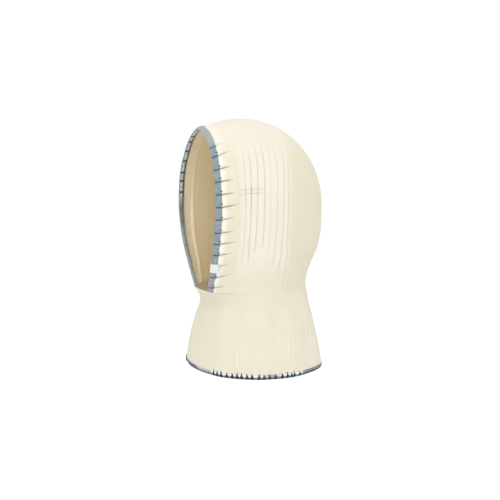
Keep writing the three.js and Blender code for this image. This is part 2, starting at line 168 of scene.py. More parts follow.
def along(table, key, column, at):
    """A smooth curve through a column of a table, with no overshoot between its rows."""
    xs = np.array(table[key])
    ys = np.array(table[column])
    slopes = np.diff(ys) / np.diff(xs)
    tangents = np.zeros(len(xs))
    tangents[0] = slopes[0]
    tangents[-1] = slopes[-1] if key == "down" else 0
    for k in range(1, len(xs) - 1):
        before, after = slopes[k - 1], slopes[k]
        if before * after > 0:
            tangents[k] = 2 * before * after / (before + after)
    i = np.clip(np.searchsorted(xs, at, side="right") - 1, 0, len(xs) - 2)
    width = xs[i + 1] - xs[i]
    s = (at - xs[i]) / width
    rise = ys[i + 1] - ys[i]
    a, b = tangents[i] * width, tangents[i + 1] * width
    return ys[i] + s * (a + s * (3 * rise - 2 * a - b + s * (a + b - 2 * rise)))


SECTION_STEPS = 360


class HalfSection:
    """Half of a horizontal section, from the front or the rim round to the middle of the back."""

    def __init__(self, half_width, ahead, behind, power, from_x):
        self.size = half_width, ahead, behind, power
        start = math.asin(min(1.0, (from_x / half_width) ** (power / 2)))
        self.angle = np.linspace(start, math.pi, SECTION_STEPS + 1)
        x, y = self.at_angle(self.angle)
        steps = np.hypot(np.diff(x), np.diff(y))
        self.distance = np.concatenate([[0.0], np.cumsum(steps)])
        self.length = self.distance[-1]

    def at_angle(self, angle):
        half_width, ahead, behind, power = self.size
        x = half_width * np.abs(np.sin(angle)) ** (2 / power)
        reach = np.abs(np.cos(angle)) ** (2 / power)
        front = CENTRE_Y - (ahead + CENTRE_Y) * reach
        back = CENTRE_Y + (behind - CENTRE_Y) * reach
        return x, np.where(angle < math.pi / 2, front, back)

    def at_distance(self, distance):
        return self.at_angle(np.interp(distance, self.distance, self.angle))


def nose(half_width, rim_half, rim_ahead, power):
    """How far ahead of the seat a section through the rim would close."""
    return (rim_ahead + CENTRE_Y) / (1 - (rim_half / half_width) ** power) ** (1 / power) - CENTRE_Y


sections = {}


def hood_section(level):
    key = round(float(level), 7)
    if key not in sections:
        share = {name: float(along(LOWER_HOOD, "up", name, key)) for name in LOWER_HOOD if name != "up"}
        half_width = mix(NECK_WIDTH, HEAD_WIDTH, share["width"]) / 2
        rim_half = mix(CHIN_WIDTH, OPENING_WIDTH, share["rim_width"]) / 2
        rim_ahead = mix(CHIN_AHEAD, RIM_AHEAD, share["rim_ahead"])
        behind = mix(NECK_BEHIND, HEAD_BEHIND_SEAT, share["back"])
        power = mix(NECK_POWER, HEAD_POWER, float(smooth(0, 1, key)))
        ahead = nose(half_width, rim_half, rim_ahead, power)
        sections[key] = HalfSection(half_width, ahead, behind, power, rim_half)
    return sections[key]


HOOD_REACH = hood_section(1).length


def crown_line(y):
    """Height of the line over the middle of the crown."""
    front = CROWN_Z - RIM_TOP_DROP * (np.minimum(y, 0) / RIM_TOP_AHEAD) ** 2
    reach = clamp(y / HEAD_BEHIND_SEAT)
    back = WIDEST_Z + CROWN_TO_WIDEST * (1 - reach**CROWN_POWER) ** (1 / CROWN_POWER)
    return np.where(y <= 0, front, back)


def hood_points(across, level):
    """Points of the hood's smooth form on the wearer's left.

    across is the distance from the rim at the widest level. level runs from 0 at the neck seam, through 1 at
    the widest level, to 2 on top.
    """
    across, level = np.broadcast_arrays(np.asarray(across, float), np.asarray(level, float))
    low = np.round(np.minimum(level, 1), 7)
    x = np.zeros(across.shape)
    y = np.zeros(across.shape)
    for key in np.unique(low):
        section = hood_section(key)
        here = low == key
        ribbed = (section.length - BAND_WIDTH) / (HOOD_REACH - BAND_WIDTH)
        distance = across[here]
        distance = np.where(distance <= BAND_WIDTH, distance, BAND_WIDTH + (distance - BAND_WIDTH) * ribbed)
        x[here], y[here] = section.at_distance(distance)
    z = mix(NECK_Z, WIDEST_Z, low)
    angle = clamp(level - 1) * math.pi / 2
    near_rim = fade(0, BAND_WIDTH, across)
    power = mix(CROWN_POWER, RIM_ARCH_POWER, near_rim)
    inward = np.maximum(np.cos(angle), 0) ** (2 / power)
    upward = np.sin(angle) ** (2 / power)
    leant = y + (RIM_AHEAD - RIM_TOP_AHEAD) * fade(0, 2 * BAND_WIDTH, across) * upward**4
    arch_x = np.where(level >= 2, 0, x * inward)
    peak = near_rim * np.maximum(0, 1 - arch_x / RIM_PEAK_HALF_WIDTH)
    arch_y = leant - RIM_PEAK_AHEAD * peak
    top = crown_line(leant) - RIM_SHOULDER_DROP * near_rim
    arch_z = mix(WIDEST_Z, top, upward) + RIM_PEAK * peak
    over = level > 1
    arch = np.stack([arch_x, arch_y, arch_z], axis=-1)
    return np.where(over[..., None], arch, np.stack([x, y, z], axis=-1))


# From the wearer's left side to the right
FLIP = np.array([-1.0, 1.0, 1.0])
BOTH_SIDES = (1, FLIP)


def continued(values, turn=1):
    """Values of the left half, bottom to top, continued down the right half."""
    return np.concatenate([values, values[-2::-1] * turn])


def mirrored(points):
    """Points of the left half, bottom to top, continued down the right half."""
    return continued(points, FLIP)


def unit(vectors):
    return vectors / np.maximum(np.linalg.norm(vectors, axis=-1, keepdims=True), 1e-9)


def grid_normals(points):
    """Unit normals of a grid of points, along its columns' way crossed with its rows' way."""
    return unit(np.cross(np.gradient(points, axis=1), np.gradient(points, axis=0)))


def arc_length(points, axis=0):
    steps = np.linalg.norm(np.diff(points, axis=axis), axis=-1)
    start = np.zeros_like(np.take(steps, [0], axis=axis))
    return np.concatenate([start, np.cumsum(steps, axis=axis)], axis=axis)


# ---- meshes

MERGE_WITHIN = 0.001
SHARP_ANGLE = math.radians(60)


class Patch:
    """Grids of points joined by quads, with a knit coordinate in millimetres and named shades at each point."""

    def __init__(self):
        self.points = []
        self.coordinates = []
        self.shades = {}
        self.quads = []
        self.count = 0

    def grid(self, points, coordinates, **shades):
        rows, columns = points.shape[:2]
        index = self.count + np.arange(rows * columns).reshape(rows, columns)
        self.count += rows * columns
        self.points.append(points.reshape(-1, 3))
        self.coordinates.append(coordinates.reshape(-1, 2))
        for name, values in shades.items():
            self.shades.setdefault(name, []).append(np.broadcast_to(values, (rows, columns)).reshape(-1))
        return index

    def skin(self, index, flip=False, wrap_rows=False, wrap_columns=False):
        """Quads over a grid of point numbers."""
        if wrap_rows:
            index = np.concatenate([index, index[:1]])
        if wrap_columns:
            index = np.concatenate([index, index[:, :1]], axis=1)
        quads = np.stack([index[:-1, :-1], index[:-1, 1:], index[1:, 1:], index[1:, :-1]], axis=-1)
        quads = quads.reshape(-1, 4)
        self.quads.append(quads[:, ::-1] if flip else quads)

    def strip(self, first, second):
        """Quads between two lines of point numbers."""
        self.quads.append(np.stack([first[:-1], first[1:], second[1:], second[:-1]], axis=-1))

    def lid(self, loop):
        """Quads across a closed loop with an even number of points, folded about its first one."""
        half = len(loop) // 2
        self.strip(loop[: half + 1], np.roll(loop, -half)[::-1][: half + 1])

    def capped_tube(self, index):
        """Quads round a grid of point numbers, with a lid over its first and last row."""
        self.skin(index, wrap_columns=True)
        self.lid(index[0][::-1])
        self.lid(index[-1])

    def mesh(self, name):
        points = np.concatenate(self.points) * MM
        coordinates = np.concatenate(self.coordinates)
        quads = np.concatenate(self.quads)
        # Where points run together a quad becomes a triangle or nothing
        keys = np.round(points / (MM * MERGE_WITHIN)).astype(np.int64)
        _, first, merged = np.unique(keys, axis=0, return_index=True, return_inverse=True)
        merged = first[merged.reshape(-1)]
        faces = []
        loops = []
        for quad in quads:
            corners = []
            for corner in quad:
                if merged[corner] not in [merged[c] for c in corners]:
                    corners.append(corner)
            if len(corners) > 2:
                faces.append([merged[c] for c in corners])
                loops.extend(corners)
        used, flat = np.unique(np.concatenate([np.array(f) for f in faces]), return_inverse=True)
        flat = flat.reshape(-1).tolist()
        sizes = [len(f) for f in faces]
        starts = np.concatenate([[0], np.cumsum(sizes)[:-1]]).tolist()
        face_lists = [flat[s:s + n] for s, n in zip(starts, sizes)]
        mesh = bpy.data.meshes.new(name)
        mesh.from_pydata(points[used].tolist(), [], face_lists)
        layer = mesh.uv_layers.new(name="knit_mm")
        layer.uv.foreach_set("vector", coordinates[np.array(loops)].astype(np.float32).ravel())
        for shade, values in self.shades.items():
            attribute = mesh.attributes.new(shade, "FLOAT", "POINT")
            attribute.data.foreach_set("value", np.concatenate(values)[used].astype(np.float32))
        mesh.validate()
        mesh.shade_smooth()
        mesh.set_sharp_from_angle(angle=SHARP_ANGLE)
        return mesh


def round_uv(loops, distance):
    """The knit coordinate of a grid of loops: the way round the first one, and the distance of each."""
    girth = arc_length(loops[:1], axis=1)
    return np.stack([np.broadcast_to(girth, distance.shape), distance], axis=-1)


def knit_shades(sunk=0.0, proud=0.0, inside=0.0, plain=0.0):
    """The shades that the cream knit's colour follows: painted shade where sunk, painted highlights and pale
    flecks, the inside's painted bounce light, and the plain knit's deeper tone with painted shade.
    """
    return {"sunk": sunk, "proud": proud, "inside": inside, "plain": plain}


def faces_inward(mesh):
    solid = bmesh.new()
    solid.from_mesh(mesh)
    inward = solid.calc_volume(signed=True) < 0
    solid.free()
    return inward


def add_piece(mesh, material, slot, *nodes):
    """Links a mesh as a piece of the object that stands for the named CAD nodes."""
    if faces_inward(mesh):
        mesh.flip_normals()
    piece = bpy.data.objects.new(mesh.name, mesh)
    bpy.context.scene.collection.objects.link(piece)
    mesh.materials.append(material)
    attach(piece, "root")
    if nodes:
        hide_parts(*nodes)


def tube(name, loops, uv, closed=False, **shades):
    """Loops of points joined into a tube, which runs round to its first loop again or has closed ends."""
    patch = Patch()
    index = patch.grid(loops, uv, **shades)
    if closed:
        patch.skin(index, wrap_rows=True, wrap_columns=True)
    else:
        patch.capped_tube(index)
    return patch.mesh(name)


def wall(name, outer, inner, uv, outer_shades, inner_shades, closed=False, last_col=True):
    """A wall between an outer and an inner grid, with faces at its edges.

    The rows of a closed one run round to the first again. Without last_col the last column gets no face.
    """
    patch = Patch()
    out = patch.grid(outer, uv, **outer_shades)
    back = patch.grid(inner, uv, **inner_shades)
    if closed:
        out = np.concatenate([out, out[:1]])
        back = np.concatenate([back, back[:1]])
    else:
        patch.strip(back[0], out[0])
        patch.strip(out[-1], back[-1])
    patch.skin(out)
    patch.skin(back, flip=True)
    patch.strip(out[:, 0], back[:, 0])
    if last_col:
        patch.strip(back[:, -1], out[:, -1])
    return patch.mesh(name)


# ---- materials


class Nodes:
    """A material's node tree, with short calls for the nodes used here."""

    def __init__(self, name):
        self.material = bpy.data.materials.new(name)
        self.material.use_nodes = True
        self.tree = self.material.node_tree
        self.tree.nodes.clear()
        output = self.tree.nodes.new("ShaderNodeOutputMaterial")
        self.shader = self.tree.nodes.new("ShaderNodeBsdfPrincipled")
        self.tree.links.new(self.shader.outputs[0], output.inputs["Surface"])

    def put(self, socket, value):
        if isinstance(value, bpy.types.NodeSocket):
            self.tree.links.new(value, socket)
        elif isinstance(value, tuple) and len(value) == 3 and socket.type == "RGBA":
            socket.default_value = (*value, 1.0)
        else:
            socket.default_value = value

    def node(self, kind, inputs=(), output=0, **settings):
        node = self.tree.nodes.new(kind)
        for key, value in settings.items():
            setattr(node, key, value)
        for key, value in dict(inputs).items():
            self.put(node.inputs[key], value)
        return node.outputs[output]

    def math(self, operation, *values):
        return self.node("ShaderNodeMath", dict(enumerate(values)), operation=operation)

    def times(self, first, second):
        return self.math("MULTIPLY", first, second)

    def plus(self, first, second):
        return self.math("ADD", first, second)

    def sine(self, value):
        return self.math("SINE", value)

    def knit_coordinate(self):
        return self.node("ShaderNodeUVMap", uv_map="knit_mm")

    def place_mm(self):
        """The place in the object, in millimetres."""
        place = self.node("ShaderNodeTexCoord", output="Object")
        return self.node("ShaderNodeVectorMath", {0: place, "Scale": 1 / MM}, operation="SCALE")

    def split(self, vector):
        """The first two parts of a vector."""
        node = self.tree.nodes.new("ShaderNodeSeparateXYZ")
        self.put(node.inputs[0], vector)
        return node.outputs[:2]

    def vector(self, x, y):
        return self.node("ShaderNodeCombineXYZ", {0: x, 1: y})

    def shade(self, name):
        return self.node("ShaderNodeAttribute", output="Fac", attribute_name=name)

    def noise(self, vector, scale, detail=2.0, roughness=0.5):
        inputs = {"Vector": vector, "Scale": scale, "Detail": detail, "Roughness": roughness}
        return self.node("ShaderNodeTexNoise", inputs, output="Fac")

    def span(self, value, low, high, to_low=0.0, to_high=1.0):
        inputs = {"Value": value, "From Min": low, "From Max": high, "To Min": to_low, "To Max": to_high}
        return self.node("ShaderNodeMapRange", inputs, clamp=True, interpolation_type="SMOOTHSTEP")

    def blend(self, share, first, second):
        node = self.tree.nodes.new("ShaderNodeMix")
        node.data_type = "RGBA"
        colours = [s for s in node.inputs if s.type == "RGBA"]
        self.put(node.inputs[0], share)
        self.put(colours[0], first)
        self.put(colours[1], second)
        return next(s for s in node.outputs if s.type == "RGBA")

    def relief(self, height, depth_mm, strength, normal=None):
        inputs = {"Height": height, "Distance": depth_mm * MM, "Strength": strength}
        if normal is not None:
            inputs["Normal"] = normal
        return self.node("ShaderNodeBump", inputs)

    def finish(self, colour, normal, roughness, sheen, sheen_tint=(1.0, 1.0, 1.0), specular=0.2):
        self.put(self.shader.inputs["Base Color"], colour)
        self.put(self.shader.inputs["Roughness"], roughness)
        self.put(self.shader.inputs["Normal"], normal)
        self.shader.inputs["Sheen Weight"].default_value = sheen
        self.shader.inputs["Sheen Roughness"].default_value = 0.5
        self.shader.inputs["Sheen Tint"].default_value = (*sheen_tint, 1.0)
        self.shader.inputs["Specular IOR Level"].default_value = specular
        return self.material


# The width and height of one stitch
WALE = 1.7
COURSE = 1.25


def stockinette(n, coordinate):
    """Height, 0 to 1, of plain knit: columns of paired slanting loops."""
    u, v = n.split(coordinate)
    column = n.math("FRACT", n.math("DIVIDE", u, WALE))
    side = n.times(n.math("ABSOLUTE", n.math("SUBTRACT", column, 0.5)), 2.0)
    slant = n.plus(n.math("DIVIDE", v, COURSE), n.times(side, 0.75))
    loop = n.sine(n.times(n.math("FRACT", slant), math.pi))
    leg = n.plus(n.times(n.sine(n.times(side, math.pi)), 0.75), 0.25)
    return n.math("POWER", n.times(n.math("POWER", loop, 0.7), leg), 0.8)


# Colours, linear
CREAM = (0.727, 0.681, 0.553)
# The plain knit's deeper tone, which also carries painted shade at the back and under the chin
CREAM_PLAIN_AND_SHADE = (0.68, 0.64, 0.495)
# Painted highlights, and pale flecks inside
CREAM_LIGHT = (0.84, 0.82, 0.76)
# Painted shade in grooves, creases, seams, stitch hollows and inside
CREAM_SHADE = (0.31, 0.28, 0.22)
# Painted highlight along the seam ridge inside
CREAM_SEAM_HIGHLIGHT = (0.99, 0.89, 0.665)
# Painted warm bounce light on the inside, brighter than the cream outside
PAINTED_BOUNCE_TAN = (0.92, 0.79, 0.54)
PAINTED_BOUNCE_BAND = (0.96, 0.86, 0.64)
SLATES = [(0.30, 0.37, 0.365), (0.255, 0.335, 0.36), (0.265, 0.32, 0.36), (0.30, 0.33, 0.395),
          (0.37, 0.37, 0.39)]
# The face edging's painted shade and dark streaks
SLATE_DARK = (0.075, 0.085, 0.085)
# The face edging's painted highlights and pale streaks
SLATE_LIGHT = (0.80, 0.81, 0.86)
SLATE_PALE = (0.33, 0.38, 0.37)
HEM_SLATES = [(0.30, 0.35, 0.45), (0.36, 0.40, 0.50), (0.24, 0.31, 0.32), (0.33, 0.37, 0.46)]
HEM_DARK = (0.06, 0.075, 0.11)
# The hem's painted highlights and pale streaks
HEM_LIGHT = (0.78, 0.80, 0.84)
HEM_TEAL = (0.22, 0.30, 0.295)
# Plain yarns, each with its shade
NAVY = (0.03, 0.035, 0.055), (0.012, 0.014, 0.022)
SLATE_NAVY = (0.095, 0.11, 0.15), (0.045, 0.055, 0.08)
DARK_SLATE = (0.15, 0.19, 0.23), (0.09, 0.115, 0.14)
GREY_BROWN = (0.26, 0.23, 0.17), (0.16, 0.14, 0.10)
LABEL_WHITES = (0.66, 0.68, 0.68), (0.78, 0.79, 0.78)

# How the cream's melange fades
MELANGE = 0.985, 0.975, 0.955

# Pitches: of the edging yarn's ply, and of the label's weave both ways
PLY_PITCH = 1.5
WEAVE_PITCH = 0.5, 0.4


def cream_knit(name, colour, inside_painted_light):
    """Fine matte knit with a soft melange; painted shade in the stitches' hollows and where it is sunk, painted
    highlights and pale flecks, and painted warm bounce light inside.
    """
    n = Nodes(name)
    height = stockinette(n, n.knit_coordinate())
    place = n.place_mm()
    cloud = n.noise(place, 0.035, 3.0)
    fuzz = n.noise(place, 1.6, 2.0, 0.6)
    faded = tuple(c * k for c, k in zip(colour, MELANGE))
    tone = n.blend(n.span(cloud, 0.35, 0.65), colour, faded)
    # The plain knit's deeper tone with painted shade
    tone = n.blend(n.times(n.shade("plain"), 0.6), tone, CREAM_PLAIN_AND_SHADE)
    # Painted warm bounce light on the inside
    tone = n.blend(n.shade("inside"), tone, inside_painted_light)
    # Painted shade in the hollows between the stitches
    tone = n.blend(n.span(height, 0.0, 0.75, 0.1, 0.0), tone, CREAM_SHADE)
    # Painted shade where the knit is sunk: grooves, creases, seams and the inside
    tone = n.blend(n.shade("sunk"), tone, CREAM_SHADE)
    # Painted highlights where the knit stands out, and pale flecks inside
    tone = n.blend(n.shade("proud"), tone, CREAM_LIGHT)
    relief = n.relief(height, 0.28, 0.55)
    relief = n.relief(fuzz, 0.18, 0.35, relief)
    return n.finish(tone, relief, roughness=0.92, sheen=0.12, sheen_tint=(1.0, 0.98, 0.93))


def slate_yarn(name, colours, pale, dark, light, streak):
    """Melange yarn wound over an edge: slow changes of hue along it, fine streaks across it."""
    n = Nodes(name)
    u, v = n.split(n.knit_coordinate())
    slow = n.noise(n.vector(n.times(u, 0.3), v), 0.12)
    ramp = n.tree.nodes.new("ShaderNodeValToRGB")
    elements = ramp.color_ramp.elements
    places = np.linspace(0.0, 1.0, len(colours))
    for k, (place, colour) in enumerate(zip(places, colours)):
        element = elements[k] if k < 2 else elements.new(place)
        element.position = place
        element.color = (*colour, 1.0)
    hue = n.plus(n.shade("hue"), n.times(n.math("SUBTRACT", slow, 0.5), 1.2))
    n.tree.links.new(hue, ramp.inputs[0])
    strands = n.noise(n.vector(n.times(u, 0.16), v), streak, 3.0, 0.7)
    tone = n.blend(n.span(strands, 0.35, 0.6, 0.45, 0.0), ramp.outputs[0], dark)
    tone = n.blend(n.span(strands, 0.52, 0.75, 0.0, 0.35), tone, light)
    tone = n.blend(n.shade("pale"), tone, pale)
    # Painted shade in the face edging's pinches, along its inner edge and in its apex; on the hem, darker
    # toward the bottom and round each stitch
    tone = n.blend(n.shade("sunk"), tone, dark)
    # Painted highlights on the edging's and the hem's puffs
    tone = n.blend(n.shade("proud"), tone, light)
    ply = n.sine(n.times(n.plus(v, n.times(u, 0.35)), 2 * math.pi / PLY_PITCH))
    relief = n.relief(ply, 0.2, 0.6)
    relief = n.relief(strands, 0.4, 0.5, relief)
    return n.finish(tone, relief, roughness=0.85, sheen=0.15, sheen_tint=(0.9, 0.95, 1.0))


def yarn_material(name, colour, dark):
    """Twisted yarn of one speckled colour."""
    n = Nodes(name)
    at = n.knit_coordinate()
    u, v = n.split(at)
    twist = n.sine(n.times(n.plus(n.times(v, 2.2), u), 2 * math.pi))
    speckle = n.noise(at, 1.2)
    tone = n.blend(n.span(speckle, 0.35, 0.7), dark, colour)
    return n.finish(tone, n.relief(twist, 0.12, 0.6), roughness=0.85, sheen=0.1)


def label_material(name):
    """Fine white weave."""
    n = Nodes(name)
    at = n.knit_coordinate()
    u, v = n.split(at)
    weave = n.times(*(n.sine(n.times(way, 2 * math.pi / pitch)) for way, pitch in zip((u, v), WEAVE_PITCH)))
    tone = n.blend(n.span(n.noise(at, 0.6), 0.3, 0.7), *LABEL_WHITES)
    return n.finish(tone, n.relief(weave, 0.06, 0.5), roughness=0.55, sheen=0.05, specular=0.4)


cream = cream_knit("cream_rib_knit", CREAM, PAINTED_BOUNCE_TAN)
band_cream = cream_knit("cream_band_knit", CREAM, PAINTED_BOUNCE_BAND)
# A brighter copy of the cream for the seam ridge's painted highlight
seam_highlight_cream = cream_knit("cream_seam_highlight_knit", CREAM_SEAM_HIGHLIGHT, PAINTED_BOUNCE_TAN)
edging_yarn = slate_yarn("slate_melange_edging", SLATES, SLATE_PALE, SLATE_DARK, SLATE_LIGHT, 1.1)
hem_yarn = slate_yarn("periwinkle_hem_edging", HEM_SLATES, HEM_TEAL, HEM_DARK, HEM_LIGHT, 1.0)
navy_yarn = yarn_material("navy_stitch_yarn", *NAVY)
cord_yarn = yarn_material("slate_navy_cord_yarn", *SLATE_NAVY)
slate_stitches = yarn_material("dark_slate_stitches", *DARK_SLATE)
brown_yarn = yarn_material("grey_brown_stitches", *GREY_BROWN)
label_weave = label_material("white_woven_label")


# ---- the hood: ribs, crown and back

# The ribs, front to back: distance from the rim at the widest level, how far each strays back over the
# crown and at the nape, the levels between which it shows, and its strength
RIBS = rows_of(
    "at crown nape from to strength",
    (42.9, 3.5, 2.0, 0.30, 1.52, 0.70),
    (50.8, 6.0, 6.0, 0.34, 1.56, 1.00),
    (60.2, 7.5, 5.5, 0.45, 1.60, 0.95),
    (71.2, 6.5, 4.0, 0.50, 1.60, 1.05),
    (81.2, 7.0, 5.0, 0.44, 1.65, 0.55),
    (91.8, 7.0, 4.0, 0.26, 1.67, 0.85),
    (102.6, 8.0, 8.0, 0.12, 1.64, 0.95),
    (110.9, 8.0, 16.0, -0.04, 1.50, 0.95),
    (121.0, 8.0, 17.0, 0.16, 0.62, 0.40),
)
RIB_PLACES = np.array([rib["at"] for rib in RIBS])
LAST_RIB = RIB_PLACES[-2]


def rib_sway(column, level):
    """How far back the columns of the grid stray with the ribs at a level."""
    crown = np.array([rib["crown"] for rib in RIBS])
    nape = np.array([rib["nape"] for rib in RIBS])
    places = np.concatenate([[BAND_WIDTH], RIB_PLACES, [HOOD_REACH]])
    crown = np.interp(column, places, np.concatenate([[0], crown, [0]]))
    nape = np.interp(column, places, np.concatenate([[0], nape, [0]]))
    return crown * smooth(1.0, 1.5, level) + nape * fade(0.0, 0.72, level)


def rib_columns():
    """Distances from the rim, closer together where a rib's groove runs."""
    near = np.array([0.0, 0.4, 0.8, 1.3, 2.0])
    places = [np.linspace(BAND_WIDTH + VISIBLE_GAP / 2, RIB_PLACES[0] - 3.0, 8)]
    for k, middle in enumerate(RIB_PLACES):
        places.append(np.concatenate([middle - near[:0:-1], middle + near]))
        if k + 1 < len(RIB_PLACES):
            places.append(np.linspace(middle + 3.0, RIB_PLACES[k + 1] - 3.0, 3))
    places.append(np.linspace(RIB_PLACES[-1] + 3.0, HOOD_REACH, 36))
    return np.unique(np.concatenate(places))


RIB_DEPTH = 0.6
# RIB_SHADE and YOKE_SHADE are the strengths of painted shade in the ribs' grooves and along the yoke's lines
RIB_SHADE = 0.17
YOKE_SHADE = 0.3
RIB_HALF = 1.35
YOKE_LEVELS = [1.166, 1.138]
YOKE_SINK = 0.3
LAND_SWELL = 0.25


def level_rows():
    """Levels from the neck seam to the top, closer together at the seam and at the two lines of the yoke."""
    seam = np.array([0.0, 0.006, 0.012])
    near = np.array([-0.011, -0.0055, 0.0, 0.0055, 0.011])
    yoke = np.concatenate([middle + near for middle in YOKE_LEVELS])
    regular = np.concatenate([np.linspace(0.03, 1, 58, endpoint=False), np.linspace(1, 2, 66)])
    regular = regular[(regular < yoke.min() - 0.01) | (regular > yoke.max() + 0.01)]
    return np.unique(np.round(np.concatenate([seam, regular, yoke]), 6))


def rib_relief(column, level):
    """How deep the ribs' grooves are, from 0 to about 1."""
    sunk = np.zeros(np.broadcast(column, level).shape)
    for rib in RIBS:
        ends = smooth(rib["from"], rib["from"] + 0.16, level) * fade(rib["to"] - 0.16, rib["to"], level)
        sunk += rib["strength"] * ends * bump_at(column, rib["at"], RIB_HALF)
    return sunk


def yoke_relief(column, level):
    """Two faint lines across the front ribs."""
    lines = sum(bump_at(level, middle, 0.011) for middle in YOKE_LEVELS)
    ends = smooth(BAND_WIDTH, BAND_WIDTH + 4, column) * fade(BAND_WIDTH + 30, BAND_WIDTH + 40, column)
    return lines * ends


def band_seam_shade(level):
    """Painted shade along the seam to the band: a little at the cheek and hardly elsewhere."""
    return 0.22 * bump_at(level, 1.2, 0.2)


def crown_painted_light(points):
    """Painted light: the knit is paler over the crown, where the light falls most."""
    return 0.25 * smooth(CROWN_Z - 62, CROWN_Z - 14, points[..., 2])


def neck_seam_shade(way):
    """Painted shade along the seam at the neck: near the face, fading backward."""
    return 0.3 * fade(30.0, 62.0, way) + 0.2 * bump_at(way, 128.0, 9.0)


def hood_shell():
    columns = rib_columns()[None, :]
    levels = level_rows()
    way = columns + rib_sway(columns, levels[:, None])
    grid = hood_points(way, levels[:, None])
    grid[levels > 1, -1] = grid[levels <= 1, -1][-1]
    grid[:, -1, 0] = 0
    points = mirrored(grid)
    level = continued(levels)[:, None]
    normals = grid_normals(points)
    normals[:, -1] = (0, 1, 0)
    sunk = rib_relief(columns, level)
    yoke = yoke_relief(columns, level)
    ribbed = smooth(BAND_WIDTH, BAND_WIDTH + 8, columns) * fade(LAST_RIB - 4, LAST_RIB + 8, columns)
    ribbed = ribbed * smooth(0.1, 0.4, level) * fade(1.35, 1.6, level)
    height = LAND_SWELL * ribbed * (1 - clamp(sunk)) - RIB_DEPTH * sunk - YOKE_SINK * yoke
    height[:, -1] = 0
    outer = points + normals * height[..., None]
    inner = points - normals * KNIT_WALL
    for skin in (outer, inner):
        skin[[0, -1], :, 2] = NECK_Z + VISIBLE_GAP / 2
    uv = np.stack([continued(way), continued(arc_length(grid))], axis=-1)
    seam = band_seam_shade(level) * bump_at(columns, BAND_WIDTH, 1.0)
    neck_seam = neck_seam_shade(columns) * bump_at(level, 0, 0.011)
    # Painted shade in the ribs' grooves, the yoke's lines and the seams
    dark = clamp(RIB_SHADE * sunk + YOKE_SHADE * yoke + seam + neck_seam)
    # The plain back panel: a little deeper in tone, with painted shade where it turns away from the light
    below_crown = fade(CROWN_Z - 70, CROWN_Z - 14, points[..., 2])
    back = smooth(LAST_RIB - 3, LAST_RIB + 14, columns) * below_crown
    deep = fade(0.0, 0.075, level)
    bands = sum(bump_at(columns, place, 4.0) for place in RIB_PLACES) * smooth(0.1, 0.4, level)
    # Painted highlights on the lands between the ribs and over the crown
    proud = 0.3 * ribbed * (1 - clamp(1.5 * sunk)) + crown_painted_light(points)
    outside = knit_shades(sunk=dark, proud=proud, plain=back)
    # Painted shade inside: darker toward the neck, behind the ribs, away from the face and low at the back
    far_side = smooth(44, 80, columns)
    low_back = smooth(38, 72, columns) * fade(0.0, 0.75, level)
    sunk_inside = clamp(0.22 * deep + 0.06 * bands + 0.09 * far_side + 0.24 * low_back)
    inside = knit_shades(sunk=sunk_inside, inside=1.0)
    return wall("hood_shell_knit", outer, inner, uv, outside, inside, last_col=False)


# ---- the tucked band and the edging of the face opening

RIM_STEPS = 800
rim_levels = np.linspace(0, 2, RIM_STEPS + 1)
rim_way = arc_length(hood_points(np.zeros(RIM_STEPS + 1), rim_levels))
RIM_LENGTH = rim_way[-1]


def rim_level(distance):
    return np.interp(distance, rim_way, rim_levels)


# The tucks from the chin up: distance up the rim, strength, reach over the band's width, and how far each
# climbs as it runs back
TUCKS = rows_of(
    "at strength reach climb",
    (8.4, 0.85, 0.90, 6.9),
    (26.6, 0.95, 0.95, 8.2),
    (47.0, 0.50, 0.85, 4.6),
    (65.2, 0.90, 0.90, 5.0),
    (82.6, 1.10, 1.10, 3.8),
    (99.5, 0.85, 0.90, 3.4),
    (118.8, 0.80, 0.95, 5.0),
    (136.6, 1.20, 1.15, 7.6),
    (154.2, 1.10, 1.00, 4.9),
    (171.4, 1.20, 0.95, 3.0),
    (188.4, 1.15, 0.85, 0.6),
    (207.6, 0.90, 1.05, -1.4),
    (222.6, 0.60, 0.75, -3.2),
)
TUCK_PLACES = np.array([tuck["at"] for tuck in TUCKS])
LAST_TUCK = TUCK_PLACES[-1]
TOP_RUN = 36.0


def climb(distance, back):
    """Level of a line that follows the tucks as it runs back from the edging."""
    places = np.concatenate([[0], TUCK_PLACES, [RIM_LENGTH]])
    rise = np.concatenate([[0], [tuck["climb"] for tuck in TUCKS], [0]])
    return rim_level(np.clip(distance + np.interp(distance, places, rise) * back, 0, RIM_LENGTH))


def tuck_rows(per_tuck):
    """Distances up the rim, closer together at the tucks, and each one's place between them from 0 to 1."""
    near = 0.5 - 0.5 * np.cos(np.linspace(0, math.pi, per_tuck, endpoint=False))
    near = 0.6 * near + 0.4 * np.linspace(0, 1, per_tuck, endpoint=False)
    half = per_tuck // 2
    rows = [np.linspace(0, TUCK_PLACES[0], half, endpoint=False)]
    place = [np.linspace(0.5, 1, half, endpoint=False)]
    for start, end in zip(TUCK_PLACES, TUCK_PLACES[1:]):
        rows.append(mix(start, end, near))
        place.append(near)
    top = np.linspace(0, 1, per_tuck * 3) ** 1.2
    rows.append(mix(LAST_TUCK, RIM_LENGTH, top))
    place.append(np.clip((rows[-1] - LAST_TUCK) / TOP_RUN, 0, 0.5))
    return np.concatenate(rows), np.concatenate(place)


TUCK_DEPTH = 1.7
TUCK_BULGE = 1.15
# Strength of the painted shade in the tucks' creases
TUCK_SHADE = 0.8


